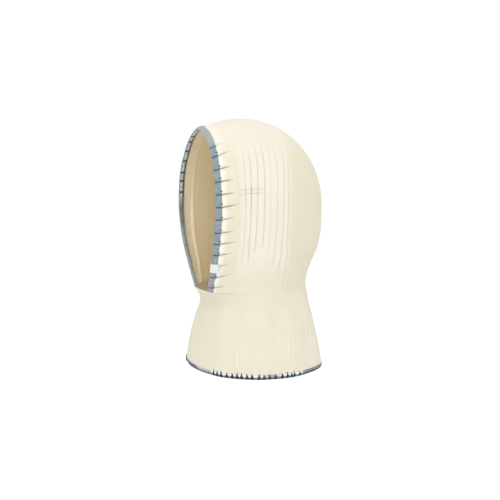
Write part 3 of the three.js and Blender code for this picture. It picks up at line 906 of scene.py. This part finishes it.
def tuck_relief(distance, place, across):
    """How far each tuck's crease sinks, how dark its painted shade is, and how far the knit puffs out between
    tucks.
    """
    crease = np.zeros(np.broadcast(distance, across).shape)
    shade = np.zeros(crease.shape)
    back = (across - EDGING_WIDTH) / (BAND_WIDTH - EDGING_WIDTH)
    for tuck in TUCKS:
        run = fade(0.35 * tuck["reach"], tuck["reach"], back)
        breadth = mix(1.6, 0.9, clamp(back))
        crease += tuck["strength"] * run * bump_at(distance, tuck["at"], breadth)
        shade += tuck["strength"] * run * bump_at(distance, tuck["at"], 0.62 * breadth)
    puff = 1 - np.abs(2 * place - 1) ** 2.6
    low = mix(0.4, 1, smooth(0, TUCK_PLACES[0], distance))
    below_top = fade(LAST_TUCK, LAST_TUCK + TOP_RUN / 2, distance)
    return crease, shade, puff * low * below_top * fade(0.2, 1.0, back)


def face_band():
    rows, place = tuck_rows(22)
    start = EDGING_WIDTH - 1.5
    end = BAND_WIDTH - VISIBLE_GAP / 2
    columns = np.concatenate([np.linspace(start, start + 6, 9), np.linspace(start + 7, end, 22)])
    a = columns[None, :]
    distance = rows[:, None]
    back = clamp((a - EDGING_WIDTH) / (BAND_WIDTH - EDGING_WIDTH))
    level = climb(distance, back)
    points = mirrored(hood_points(np.broadcast_to(a, level.shape), level))
    points[len(rows) - 1, :, 0] = 0
    normals = grid_normals(points)
    normals[len(rows) - 1, :, 0] = 0
    crease, shade, puff = (continued(part) for part in tuck_relief(distance, place[:, None], a))
    under_edging = bump_at(a, start, 3.0)
    height = TUCK_BULGE * puff - TUCK_DEPTH * crease - 1.4 * under_edging
    outer = points + normals * height[..., None]
    inner = points + normals * (-KNIT_WALL - 0.3 * crease + 0.2 * puff + under_edging)[..., None]
    for skin in (outer, inner):
        skin[[0, -1], :, 2] = NECK_Z + VISIBLE_GAP / 2
    d = continued(np.broadcast_to(distance, level.shape))
    uv = np.stack([a * np.ones_like(d), d + 0.25 * a], axis=-1)
    level = continued(level)
    seam = band_seam_shade(level) * bump_at(a, BAND_WIDTH, 1.0)
    neck_seam = neck_seam_shade(a) * bump_at(d, 0, 1.2)
    # Painted shade in the tucks' creases and along the seams
    dark = clamp(TUCK_SHADE * shade + seam + neck_seam)
    # Painted highlights on the puffs by the edging, toward the top and over the crown
    proud = clamp(1.1 * puff) * fade(EDGING_WIDTH + 1, EDGING_WIDTH + 11, a)
    proud = np.maximum(proud, 0.45 * smooth(185, 225, d) * fade(14, BAND_WIDTH, a))
    proud = np.maximum(proud, crown_painted_light(points))
    deep = fade(0.0, 0.07, level)
    # Faint pale flecks on the inside
    flecks = np.sin(d * 0.93 + 1.7 * np.sin(a * 0.8)) * np.sin(a * 1.15 + 2.1 * np.sin(d * 0.31))
    flecks = clamp(1.6 * flecks) * smooth(20, 50, d) * fade(135, 160, d)
    flecks = flecks * fade(EDGING_WIDTH + 8, EDGING_WIDTH + 17, a)
    # Painted shade inside: in the creases, toward the neck, a painted shadow line behind the edging higher up,
    # and softer shade beside it lower down
    behind_edging = fade(EDGING_WIDTH + 1.2, EDGING_WIDTH + 3.0, a) * smooth(110, 150, d)
    soft_edge = 0.28 * fade(EDGING_WIDTH, EDGING_WIDTH + 9, a) * fade(110, 150, d)
    outside = knit_shades(sunk=dark, proud=proud)
    sunk_inside = clamp(0.1 * shade + 0.3 * deep + 0.8 * behind_edging + soft_edge)
    inside = knit_shades(sunk=sunk_inside, proud=0.4 * flecks, inside=0.95)
    return wall("face_band_knit", outer, inner, uv, outside, inside)


# The edging's section from its back edge over the outside, round the rim and back on the inside:
# shares of its width and of its half thickness
EDGING_SECTION = np.array([
    [1.0, -0.25], [1.04, 0.15], [0.98, 0.55], [0.84, 0.86], [0.66, 1.0], [0.46, 1.02],
    [0.28, 0.92], [0.13, 0.68], [0.04, 0.36], [0.0, 0.0], [0.03, -0.38], [0.11, -0.7],
    [0.25, -0.92], [0.44, -1.02], [0.62, -1.0], [0.78, -0.84], [0.9, -0.6], [0.96, -0.4],
])
EDGING_MIDDLE = -KNIT_WALL / 2


def closed_curve(section, count):
    """A smooth closed curve through a section's points, at evenly spaced places."""
    points = np.array(section)
    n = len(points)
    t = np.arange(count) / count * n
    i = np.floor(t).astype(int) % n
    s = (t - np.floor(t))[:, None]
    p = [points[(i + k) % n] for k in (-1, 0, 1, 2)]
    return 0.5 * (2 * p[1] + (p[2] - p[0]) * s + (2 * p[0] - 5 * p[1] + 4 * p[2] - p[3]) * s**2
                  + (3 * p[1] - p[0] - 3 * p[2] + p[3]) * s**3)


RIM_STEP = 0.5
LEVEL_STEP = 0.004


def rim_surface(across, distance, height):
    """Points by distance from the rim, below 0 ahead of it, distance up it and height over the knit."""
    across, distance, height = np.broadcast_arrays(across, distance, height)
    level = rim_level(np.clip(distance, 0, RIM_LENGTH))
    inside = np.maximum(across, 0)
    base = hood_points(inside, level)
    way = unit(hood_points(inside + RIM_STEP, level) - base)
    above, below = np.minimum(2, level + LEVEL_STEP), np.maximum(0, level - LEVEL_STEP)
    normal = unit(np.cross(way, hood_points(inside, above) - hood_points(inside, below)))
    top = level >= 2
    normal[top, 0] = 0
    way[top, 0] = 0
    return base + way * np.minimum(across, 0)[..., None] + normal * height[..., None]


# The melange yarn's hue along the rim, from 0 green through blue and lavender to 1 grey
YARN_WAY = [0, 34, 42, 86, 98, 118, 130, 142, 164, 178, 196, 215, 240]
YARN_HUE = [1.0, 1.0, 0.1, 0.05, 0.7, 0.75, 0.4, 0.2, 0.25, 0.6, 0.5, 0.3, 0.2]

# Distances up the rim of the notches of painted shade between the painted highlights on the edging's inside
NOTCHES = [147.0, 164.2, 177.4, 196.4, 213.6, 231.3, 244.0]


def face_edging():
    """The edging: puffs between the tucks, pinched at each, plain and pointed over the top."""
    section = closed_curve(EDGING_SECTION, 40)
    rows, place = tuck_rows(30)
    distance = rows[:, None]
    pinch = np.zeros((len(rows), 1))
    for tuck in TUCKS:
        pinch += min(1.0, 0.6 + 0.4 * tuck["strength"]) * bump_at(distance, tuck["at"], 1.7)
    top = smooth(LAST_TUCK - 2, LAST_TUCK + 10, distance)
    point = smooth(RIM_LENGTH - 15, RIM_LENGTH, distance)
    puff = (1 - np.abs(2 * place[:, None] - 1) ** 2.2) * (1 - top)
    across, out = section[None, :, 0], section[None, :, 1]
    thick = EDGING_THICKNESS / 2 * (1 + 0.16 * puff - 0.3 * pinch)
    wide = EDGING_WIDTH * (1.06 + 0.06 * puff + 0.25 * point)
    ahead = (0.9 + 1.8 * fade(0, 60, distance)) * fade(120, 180, distance) * (1 - across)
    ripple = 0.16 * np.sin(distance * 2 * math.pi / 2.9 + 3 * across) * (1 - 0.7 * top)
    uneven = 0.4 * np.sin(distance * 2 * math.pi / 5.3 + 1.3) + 0.25 * np.sin(distance * 2 * math.pi / 2.3)
    a = across * wide - ahead + 0.9 * pinch * (1 - across) + uneven * (1 - top) * across**3 * (out > -0.3)
    height = EDGING_MIDDLE + out * thick - 0.35 * pinch * (out > 0) + ripple * out
    points = rim_surface(a, distance, height)
    points[-1, :, 0] = 0
    points[0, :, 2] = np.maximum(points[0, :, 2], NECK_Z + VISIBLE_GAP / 2)
    loops = mirrored(points)
    shape = points.shape[:2]
    across, out, pinch, top, d = (
        continued(np.broadcast_to(part, shape)) for part in (across, out, pinch, top, distance))
    # The inside: pale windings low down, lavender above them, then notches of painted shade between painted
    # highlights
    inward = smooth(0.35, -0.15, out)
    wound = smooth(126, 146, d)
    notch_shade = sum(bump_at(d, place, 2.7) for place in NOTCHES)
    lozenge_highlight = inward * wound * (1 - clamp(2 * notch_shade))
    lozenge_highlight = lozenge_highlight * smooth(0.0, 0.16, across) * fade(0.36, 0.5, across)
    # A painted shadow line along the inside's inner edge, and painted shade inside the apex
    inner_shadow_line = inward * smooth(0.4, 0.6, across) * mix(0.35, 1, wound)
    apex_painted_shade = bump_at(d, RIM_LENGTH, 6.0) * smooth(0.25, -0.1, out)
    lavender = inward * smooth(88, 102, d) * (1 - wound)
    # Across each pinch outside: the dark stitch, with painted shade in the pinch
    stitch_and_pinch_shade = (1 - inward) * pinch * mix(0.6, 0.3, smooth(120, 150, d))
    between = inward * wound * clamp(1.2 * notch_shade)
    dark = clamp(stitch_and_pinch_shade + between + 0.95 * wound * inner_shadow_line + apex_painted_shade + 0.3 * lavender)
    pale = clamp(top * (1 - inward) + 0.85 * inward * (1 - wound) * (1 - lavender))
    hue = mix(np.interp(d, YARN_WAY, YARN_HUE), 0.85, lavender)
    lozenge_highlight = 0.75 * lozenge_highlight * (1 - clamp(apex_painted_shade))
    uv = round_uv(loops, d)
    return tube("face_edging_yarn", loops, uv, sunk=dark, proud=lozenge_highlight, pale=pale, hue=hue)


# ---- the cape and its hem


def cape_section(down):
    key = "cape", round(float(down), 6)
    if key not in sections:
        share = {name: float(along(CAPE_FORM, "down", name, key[1])) for name in CAPE_FORM if name != "down"}
        half_width = mix(NECK_WIDTH, HEM_WIDTH, share["width"]) / 2
        neck_ahead = nose(NECK_WIDTH / 2, CHIN_WIDTH / 2, CHIN_AHEAD, NECK_POWER)
        ahead = mix(neck_ahead, HEM_AHEAD, share["front"])
        behind = mix(NECK_BEHIND, HEM_BEHIND, share["back"])
        power = mix(NECK_POWER, HEM_POWER, key[1])
        sections[key] = HalfSection(half_width, ahead, behind, power, 0.0)
    return sections[key]


def fold_height(round_share, down):
    """How far the folds push the cape out."""
    total = np.zeros(np.broadcast(round_share, down).shape)
    length = np.interp(down, [0, 1], [cape_section(0).length, cape_section(1).length])
    for fold in CAPE_FOLDS:
        middle = mix(fold["top"], fold["hem"], down)
        breadth = fold["breadth"] * FOLD_BREADTH / length
        across = (round_share - middle) / breadth
        grown = smooth(fold["from"], min(1, fold["from"] + 0.5), down)
        total += fold["depth"] * FOLD_DEPTH * grown * np.exp(-across * across)
    return total


def cape_place(share, down):
    """Points of the cape's smooth form at one share of the way down."""
    section = cape_section(down)
    x, y = section.at_distance(share * section.length)
    tilt = HEM_TILT * (y - CENTRE_Y) / (HEM_AHEAD + HEM_BEHIND)
    return np.stack([x, y, NECK_Z - SEAM_GAP / 2 - down * (CAPE_DROP + tilt)], axis=-1)


def cape_points(shares, downs):
    """The cape's smooth form on the wearer's left: a row for each share round, a column for each down."""
    points = np.stack([cape_place(shares, down) for down in downs], axis=1)
    points[[0, -1], :, 0] = 0
    return points


def ring(points):
    """The left half's rows, front to back, continued round the right half, without repeats."""
    return np.concatenate([points, points[-2:0:-1] * FLIP])


def ring_values(values):
    return np.concatenate([values, values[-2:0:-1]])


def ring_normals(points):
    """Unit normals of a ring's grid, facing out."""
    round_way = np.roll(points, -1, axis=0) - np.roll(points, 1, axis=0)
    down_way = np.gradient(points, axis=1)
    return unit(np.cross(down_way, round_way))


# Groups of fine drape lines in the cape: middle and half extent round and down, lines in the group, how far
# they lean to the front on the way down, and strength
STREAKS = rows_of(
    "share down round tall lines lean strength",
    (0.205, 0.17, 0.050, 0.16, 6.0, 0.000, 0.60),
    (0.420, 0.22, 0.060, 0.26, 5.0, 0.055, 0.85),
    (0.500, 0.36, 0.050, 0.20, 4.0, 0.055, 0.60),
    (0.565, 0.66, 0.050, 0.26, 4.0, 0.030, 0.90),
    (0.430, 0.68, 0.022, 0.20, 2.0, 0.000, 0.60),
    (0.262, 0.80, 0.020, 0.22, 1.5, -0.004, 0.55),
    (0.740, 0.50, 0.070, 0.30, 4.0, 0.020, 0.70),
    (0.900, 0.45, 0.070, 0.35, 4.0, 0.000, 0.70),
    (0.060, 0.60, 0.060, 0.30, 4.0, 0.000, 0.60),
)
STREAK_HEIGHT = 0.16
# Strength of the painted shade in the drape lines' grooves
STREAK_SHADE = 0.12


def cape_streaks(share, down):
    """Fine drape lines, from -1 in a line to 1 beside it."""
    total = np.zeros(np.broadcast(share, down).shape)
    for group in STREAKS:
        way = (share - group["share"] + group["lean"] * (down - group["down"]) / group["tall"]) / group["round"]
        window = bump_at(way, 0, 1) * bump_at(down, group["down"], group["tall"])
        total += group["strength"] * window * np.sin(way * group["lines"] * math.pi)
    return total


def cape_painted_shade(share, down):
    """1 where painted shade makes the cape a little darker: at the back and under the chin."""
    return np.maximum(smooth(0.72, 0.84, share), fade(0.12, 0.2, share) * fade(0.2, 0.7, down))


def neck_cape():
    shares = np.linspace(0, 1, 230)
    near_seam = np.linspace(0, 0.06, 7, endpoint=False)
    middle = np.linspace(0.06, 0.95, 60, endpoint=False)
    downs = np.concatenate([near_seam, middle, np.linspace(0.95, 1.0, 7)])
    points = ring(cape_points(shares, downs))
    normals = ring_normals(points)
    share = ring_values(shares)[:, None]
    down = downs[None, :]
    streaks = cape_streaks(share, down)
    front = fade(0.10, 0.14, share)
    lip = 0.35 * front * bump_at(down, 0, 0.05)
    folds = fold_height(share, down)
    outer = points + normals * (folds + STREAK_HEIGHT * streaks + lip)[..., None]
    inner = points - normals * (KNIT_WALL - folds)[..., None]
    for skin in (outer, inner):
        skin[:, 0, 2] = NECK_Z - VISIBLE_GAP / 2
    length = arc_length(points, axis=1)
    u = share * cape_section(0.5).length
    uv = np.stack([np.broadcast_to(u, length.shape), length], axis=-1)
    seam = neck_seam_shade((share - 0.12) * cape_section(0).length) * (1 - front) * bump_at(down, 0, 0.012)
    # Painted shade along the neck seam and in the drape lines' grooves
    dark = clamp(seam - STREAK_SHADE * np.minimum(streaks, 0))
    # Painted highlights on the drape lines' ridges and on the lip at the chin
    proud = clamp(0.5 * np.maximum(streaks, 0) + 0.5 * front * bump_at(down, 0, 0.04))
    outside = knit_shades(sunk=dark, proud=proud, plain=cape_painted_shade(share, down))
    # Painted shade inside, darker near the top and toward the nape
    under_nape = mix(0.3, 0.8, smooth(0.25, 0.42, share))
    inside = knit_shades(sunk=mix(0.15, under_nape, fade(0.15, 0.45, down)), inside=0.8)
    return wall("neck_cape_knit", outer, inner, uv, outside, inside, closed=True)


HEM_SECTION = np.array([
    [0.55, 0.0], [0.85, 0.12], [1.0, 0.38], [0.98, 0.68], [0.72, 0.92], [0.25, 1.02],
    [-0.3, 1.0], [-0.75, 0.82], [-0.98, 0.5], [-0.85, 0.15], [-0.55, 0.0], [0.0, 0.02],
])
HEM_EDGING_HEIGHT = 6.0
HEM_EDGING_THICKNESS = 4.0
HEM_LENGTH = cape_section(1).length

# Distances round the hem, from the middle of the front, of the stitches on each side
HEM_STITCHES = np.array([
    47.4, 54.3, 61.2, 69.8, 77.8, 84.6, 91.0, 99.3, 106.5,
    116.5, 124.0, 132.8, 142.5, 152.9, 160.8, 168.0, 173.5, 184.9,
])
STITCHED = HEM_STITCHES[0] - 3, HEM_STITCHES[-1] + 3
VALLEY_HALF = 2.6


SHARE_STEP = 0.002
DOWN_STEP = 0.03


def hem_surface(share, drop, height):
    """Points round the left half's hem: drop below the cape's edge, height over the knit's outside."""
    share, drop, height = np.broadcast_arrays(share, drop, height)
    ends = (share <= 0) | (share >= 1)
    share = clamp(share)
    base = cape_place(share, 1.0)
    onward, before = np.minimum(share + SHARE_STEP, 1), np.maximum(share - SHARE_STEP, 0)
    round_way = cape_place(onward, 1.0) - cape_place(before, 1.0)
    normal = unit(np.cross(base - cape_place(share, 1 - DOWN_STEP), round_way))
    normal[ends, 0] = 0
    points = base + normal * (height + fold_height(share, np.ones(share.shape)))[..., None]
    points[..., 2] -= SEAM_GAP / 2 + drop
    points[..., 0] = np.where(ends, 0, points[..., 0])
    return points


def stitched_zone(distance):
    """1 where the hem is gathered by stitches, 0 where it is plain."""
    start, end = STITCHED
    return smooth(start - 3, start, distance) * fade(end, end + 3, distance)


def hem_edging():
    """The hem's edging: pale above and dark below, gathered between the stitches, thin over the front."""
    distance = np.linspace(0, HEM_LENGTH, 520)[:, None]
    section = closed_curve(HEM_SECTION, 30)
    zone = stitched_zone(distance)
    valley = sum(bump_at(distance, place, VALLEY_HALF) for place in HEM_STITCHES)
    across, drop = section[None, :, 0], section[None, :, 1]
    thick = HEM_EDGING_THICKNESS / 2 * (1 - 0.3 * valley + 0.14 * zone)
    height = EDGING_MIDDLE + across * thick
    points = hem_surface(distance / HEM_LENGTH, drop * HEM_EDGING_HEIGHT * (1 - 0.06 * valley), height)
    loops = ring(points)
    shape = points.shape[:2]
    drop, zone, valley, d = (
        ring_values(np.broadcast_to(part, shape)) for part in (drop, zone, valley, distance))
    # The front is plain, and on the wearer's right it stays so further round
    right = (np.arange(len(loops)) >= len(distance))[:, None]
    front = np.where(right, fade(45, 62, d), fade(3, 12, d))
    behind = smooth(STITCHED[1] + 2, STITCHED[1] + 10, d)
    spread = mix(0.9, 3.0, smooth(0.0, 0.85, drop))
    wedge = sum(fade(0.6, 1.3, np.abs(d - place) / spread) for place in HEM_STITCHES)
    high = fade(0.1, 0.5, drop)
    low = smooth(mix(0.45, 0.3, front), mix(0.8, 0.5, front), drop)
    teal = bump_at(d, 136.0, 19.0) * np.ones_like(drop)
    edge = front * smooth(0.1, 0.3, drop)
    stitched = 0.95 * zone * wedge * (1 - 0.5 * teal)
    dark = clamp(0.66 * low + stitched + behind * mix(0.6, 0.3, high) + edge)
    # Painted highlights on the gathered puffs between the stitches and along the top
    top_highlight = 0.55 * high * (1 - behind) * (1 - front)
    proud = clamp(zone * (1 - 0.75 * smooth(0.15, 0.75, drop)) + top_highlight)
    proud = proud * (1 - 0.85 * teal) * (1 - dark)
    uv = round_uv(loops, d)
    return tube("hem_edging_knit", loops, uv, closed=True, sunk=dark, proud=proud, pale=0.9 * teal, hue=0.5)


# ---- yarn


TUBE_SIDES = 8


def add_tube(patch, path, radius):
    """A tube with closed ends round a path of points, with a radius at each."""
    ways = unit(np.gradient(path, axis=0))
    guide = np.array([0.0, 0.0, 1.0])
    if abs(ways[0] @ guide) > 0.9:
        guide = np.array([0.0, 1.0, 0.0])
    first = unit(np.cross(ways[0], guide))
    turn = np.arange(TUBE_SIDES) / TUBE_SIDES
    cosine, sine = np.cos(turn * 2 * math.pi)[:, None], np.sin(turn * 2 * math.pi)[:, None]
    rows = []
    for place, way, size in zip(path, ways, np.broadcast_to(radius, len(path))):
        first = unit(first - way * (first @ way))
        rows.append(place + size * (cosine * first + sine * np.cross(way, first)))
    uv = np.stack(np.broadcast_arrays(turn[None, :], arc_length(path)[:, None]), axis=-1)
    patch.capped_tube(patch.grid(np.array(rows), uv))


# Ranges drawn for the hem's stitches: the top's lean along the hem, its rise over the edging, the radius's
# share, and the radius above and below
STITCH_LEAN = -1.2, 0.6
STITCH_RISE = 0.6, 2.6
STITCH_GROWTH = 0.85, 1.15
STITCH_RADIUS = 0.45, 1.6


def hem_stitches():
    """Upright stitches over the hem's edging, thin above and spread where they meet the edge."""
    draw = np.random.default_rng(7)
    patch = Patch()
    t = np.linspace(0, 1, 17)
    for side in BOTH_SIDES:
        for place in HEM_STITCHES:
            lean = draw.uniform(*STITCH_LEAN)
            tall = draw.uniform(*STITCH_RISE)
            drop = mix(-tall, HEM_EDGING_HEIGHT * 0.95, t)
            lift = np.interp(t, [0, 0.12, 0.6, 0.85, 1], [-0.7, 0.3, 0.45, 0.0, -1.3])
            path = hem_surface((place + lean * (1 - t)) / HEM_LENGTH, drop, lift)
            radius = draw.uniform(*STITCH_GROWTH) * mix(*STITCH_RADIUS, smooth(0.15, 0.9, t))
            add_tube(patch, path * side, radius)
    return patch.mesh("hem_stitches")


# The cord's half width and half height, its middle over the knit's outside, and how far the stitches press it
CORD_HALF = 1.05, 0.85
CORD_OUT = -1.2
CORD_WAVE = 0.25
CORD_SIDES = 10


def hem_cord():
    """The dark yarn that runs round the hem's lowest edge."""
    distance = np.linspace(0, HEM_LENGTH, 260)
    wave = CORD_WAVE * sum(bump_at(distance, place, VALLEY_HALF) for place in HEM_STITCHES)
    path = hem_surface(distance / HEM_LENGTH, HEM_EDGING_HEIGHT * 0.98 + wave, CORD_OUT)
    loop = ring(path)
    way = unit(np.roll(loop, -1, axis=0) - np.roll(loop, 1, axis=0))
    outward = unit(np.cross(way, np.array([0.0, 0.0, 1.0])))
    upward = np.cross(outward, way)
    turn = np.arange(CORD_SIDES)[None, :, None] / CORD_SIDES
    angle = turn * 2 * math.pi
    wide, tall = CORD_HALF
    rows = loop[:, None] + wide * np.cos(angle) * outward[:, None] + tall * np.sin(angle) * upward[:, None]
    uv = np.stack(np.broadcast_arrays(turn[..., 0], arc_length(loop)[:, None]), axis=-1)
    return tube("hem_edge_cord", rows, uv, closed=True)


# Ranges drawn for the edging's stitches: the slope across it, and each knot's rise above its tuck
WHIP_SLOPE = -0.6, 0.6
KNOT_RISE = 3.2, 5.2
KNOT_RADIUS = 0.95
KNOT_LEAST_STRENGTH = 0.8


def edging_stitches():
    """A whipped stitch over the edging at each tuck, and a small knot above it on the edging's back edge."""
    draw = np.random.default_rng(11)
    patch = Patch()
    turn = np.linspace(0, 1, 26)
    for side in BOTH_SIDES:
        for tuck in TUCKS:
            angle = mix(-0.35 * math.pi, 1.2 * math.pi, turn)
            across = EDGING_WIDTH * (0.52 + 0.5 * np.cos(angle))
            height = EDGING_MIDDLE + 0.92 * EDGING_THICKNESS / 2 * np.sin(angle)
            slope = draw.uniform(*WHIP_SLOPE)
            distance = tuck["at"] + slope * (across / EDGING_WIDTH - 0.5)
            path = rim_surface(across, distance, height)
            radius = 0.3 + 0.16 * tuck["strength"]
            add_tube(patch, path * side, radius * (0.5 + 0.5 * np.sin(turn * math.pi) ** 0.3))
            knot = tuck["at"] + draw.uniform(*KNOT_RISE)
            if tuck["strength"] < KNOT_LEAST_STRENGTH or knot > LAST_TUCK + 1:
                continue
            t = np.linspace(0, 1, 9)
            height = 1.0 + 0.3 * np.sin(t * math.pi) - 0.9 * t
            path = rim_surface(EDGING_WIDTH * mix(0.8, 1.2, t), knot + 0.7 * t, height)
            add_tube(patch, path * side, KNOT_RADIUS * np.sin(0.15 + t * (math.pi - 0.3)) ** 0.5)
    return patch.mesh("face_edging_stitches")


RIDGE_SECTION = [
    [-1, 0], [-0.75, 0.6], [-0.25, 0.95], [0.3, 1], [0.8, 0.6], [1, 0], [0.5, -0.3], [-0.5, -0.3],
]
RIDGE_HALF_WIDTH = 4.8
RIDGE_HEIGHT = 2.6
# Distances up the rim, and how far behind the rim the ridge lies there
RIDGE_WAY = [0, 25, 60, 90, 130, 170, 260]
RIDGE_BACK = [35.5, 35.0, 31.0, 28.5, 28.0, 30.0, 33.0]


def seam_ridge():
    """The seam allowance inside the hood, a soft roll behind the band that sinks away toward the top."""
    rows, _ = tuck_rows(14)
    section = closed_curve(RIDGE_SECTION, 18)
    level = rows[:, None]
    share = mix(1, 0.12, smooth(90, 185, level))
    middle = np.interp(level, RIDGE_WAY, RIDGE_BACK)
    a = middle + section[None, :, 0] * RIDGE_HALF_WIDTH * mix(0.45, 0.85, share)
    points = rim_surface(a, level, -KNIT_WALL - RIDGE_HEIGHT * share * section[None, :, 1] - 0.05)
    points[-1, :, 0] = 0
    loops = mirrored(points)
    d = continued(np.broadcast_to(level, points.shape[:2]))
    # Painted highlight along the ridge, weaker at the bottom and fading toward the top into the inside's
    # painted bounce light
    bright = continued(np.broadcast_to(share, points.shape[:2])) * mix(0.75, 1, smooth(0, 30, d))
    return tube("inner_seam_ridge", loops, round_uv(loops, d), **knit_shades(inside=1 - bright))


EYELET_SINK = 0.6
EYELET_RADIUS = 0.42
# Rows of small stitches sunk in the first two ribs: the rib, the levels of the first and last, and how many
EYELET_ROWS = rows_of("at first last count", (43.4, 1.222, 1.05, 8), (50.9, 1.178, 1.05, 7))


def eyelet_stitches():
    patch = Patch()
    for side in BOTH_SIDES:
        for row in EYELET_ROWS:
            for level in np.linspace(row["first"], row["last"], row["count"]):
                t = np.linspace(0, 1, 7)
                levels = level + 0.007 * (t - 0.5)
                way = row["at"] + rib_sway(row["at"], levels)
                base = hood_points(way, levels)
                along_row = hood_points(way + RIM_STEP, levels) - base
                normal = unit(np.cross(along_row, hood_points(way, levels + LEVEL_STEP) - base))
                path = base + normal * (0.2 * np.sin(t * math.pi) - EYELET_SINK)[:, None]
                add_tube(patch, path * side, EYELET_RADIUS * np.sin(0.2 + t * (math.pi - 0.4)) ** 0.6)
    return patch.mesh("eyelet_stitches")


# ---- the label

LABEL_LENGTH = 14.5
LABEL_ABOVE_NECK = 43.5
# How far its two faces stand off the edging
LABEL_OUT = 0.75
LABEL_IN = 0.25


def moved_out(path, gap):
    """A path of [across, height] points moved out square to its legs."""
    legs = np.diff(path, axis=0)
    legs /= np.linalg.norm(legs, axis=1, keepdims=True)
    normals = np.stack([legs[:, 1], -legs[:, 0]], axis=1)
    before = np.vstack([normals[:1], normals])
    after = np.vstack([normals, normals[-1:]])
    way = before + after
    way /= np.linalg.norm(way, axis=1, keepdims=True)
    return path + way * (gap / np.einsum("ij,ij->i", way, before))[:, None]


def folded_label():
    """The blank woven label, folded round the edging from its inside and lying a little over the band."""
    section = closed_curve(EDGING_SECTION, 72)[9:57]
    round_edging = np.stack([section[:, 0] * EDGING_WIDTH * 1.08 - 1.6 * (1 - section[:, 0]),
                             EDGING_MIDDLE + section[:, 1] * EDGING_THICKNESS / 2 * 1.12], axis=1)
    flap = np.array([[11.9, 1.35], [10.6, 1.5], [9.4, 1.45]])
    path = np.concatenate([flap, round_edging])
    rows = np.linspace(-0.5, 0.5, 26)
    distance = LABEL_ABOVE_NECK + LABEL_LENGTH * rows[:, None]
    swell = 0.3 * (1 - (2 * np.abs(rows)) ** 4)[:, None]
    outer_path = moved_out(path, LABEL_OUT)
    inner_path = moved_out(path, LABEL_IN)
    fray = 0.12 * np.sin(rows * 57)[:, None] * (np.arange(len(path)) < 2)
    outer = rim_surface(outer_path[None, :, 0] + fray, distance, outer_path[None, :, 1] + swell)
    inner = rim_surface(inner_path[None, :, 0], distance, inner_path[None, :, 1] + swell)
    girth = arc_length(outer[:1], axis=1)[0]
    uv = np.stack(np.broadcast_arrays(girth[None, :], distance), axis=-1)
    return wall("folded_label_woven", outer, inner, uv, {}, {})


# ---- the whole object

add_piece(hood_shell(), cream, "cream_knit", "hood_shell")
add_piece(face_band(), band_cream, "cream_band", "face_band")
add_piece(face_edging(), edging_yarn, "slate_edging", "face_edging")
add_piece(neck_cape(), cream, "cream_knit", "neck_cape")
add_piece(hem_edging(), hem_yarn, "slate_hem", "hem_edging")
add_piece(folded_label(), label_weave, "label", "folded_label")
add_piece(hem_stitches(), navy_yarn, "slate_hem")
add_piece(hem_cord(), cord_yarn, "slate_hem")
add_piece(edging_stitches(), slate_stitches, "slate_edging")
add_piece(seam_ridge(), seam_highlight_cream, "cream_band")
add_piece(eyelet_stitches(), brown_yarn, "cream_knit")


# ---- camera, floor and light

CAMERA_AZIMUTH = math.radians(62)
CAMERA_ELEVATION = math.radians(9)
CAMERA_DISTANCE = 1600.0
CAMERA_TARGET = (0.0, 17.0, -193.5)
MM_PER_PIXEL = 1.5
IMAGE_PIXELS = 500
SENSOR = 36.0
CLIP_END = 100000
KEY_PLACE = (1350, -650, 1400)
KEY_SIZE = 1300
KEY_WATTS = 14
WORLD_STRENGTH = 1.02
FLOOR_HALF_SIZE = 30000
FLOOR_BELOW = 280
FLOOR_ROUGHNESS = 0.9


def aim(obj, place, target):
    direction = np.array(target, float) - np.array(place, float)
    obj.location = Vector(place) * MM
    obj.rotation_euler = Vector(direction).to_track_quat("-Z", "Y").to_euler()


def add_camera():
    data = bpy.data.cameras.new("camera")
    data.sensor_width = SENSOR
    data.lens = CAMERA_DISTANCE / MM_PER_PIXEL / IMAGE_PIXELS * SENSOR
    data.clip_end = CLIP_END * MM
    camera = bpy.data.objects.new("camera", data)
    bpy.context.scene.collection.objects.link(camera)
    back = np.array([math.sin(CAMERA_AZIMUTH) * math.cos(CAMERA_ELEVATION),
                     -math.cos(CAMERA_AZIMUTH) * math.cos(CAMERA_ELEVATION), math.sin(CAMERA_ELEVATION)])
    aim(camera, np.array(CAMERA_TARGET) + back * CAMERA_DISTANCE, CAMERA_TARGET)
    bpy.context.scene.camera = camera


def add_key_softbox():
    data = bpy.data.lights.new("key_softbox", "AREA")
    data.shape = "RECTANGLE"
    data.size = data.size_y = KEY_SIZE * MM
    data.energy = KEY_WATTS
    light = bpy.data.objects.new("key_softbox", data)
    bpy.context.scene.collection.objects.link(light)
    aim(light, KEY_PLACE, CAMERA_TARGET)


def add_floor():
    material = bpy.data.materials.new("pale_floor")
    material.use_nodes = True
    shader = material.node_tree.nodes["Principled BSDF"]
    shader.inputs["Base Color"].default_value = (1.0, 1.0, 1.0, 1)
    shader.inputs["Roughness"].default_value = FLOOR_ROUGHNESS
    shader.inputs["Specular IOR Level"].default_value = 0.0
    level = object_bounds()[0][2] - FLOOR_BELOW * MM
    corners = [(x * FLOOR_HALF_SIZE * MM, y * FLOOR_HALF_SIZE * MM, level) for x, y in
               ((-1, -1), (1, -1), (1, 1), (-1, 1))]
    mesh = bpy.data.meshes.new("floor")
    mesh.from_pydata(corners, [], [(0, 1, 2, 3)])
    mesh.materials.append(material)
    floor = bpy.data.objects.new("floor", mesh)
    bpy.context.scene.collection.objects.link(floor)


def add_world():
    world = bpy.data.worlds.new("studio")
    world.use_nodes = True
    background = world.node_tree.nodes["Background"]
    background.inputs["Color"].default_value = (1, 1, 1, 1)
    background.inputs["Strength"].default_value = WORLD_STRENGTH
    bpy.context.scene.world = world


add_camera()
add_key_softbox()
add_floor()
add_world()
bpy.context.scene.view_settings.view_transform = "Standard"
bpy.context.scene.view_settings.look = "None"
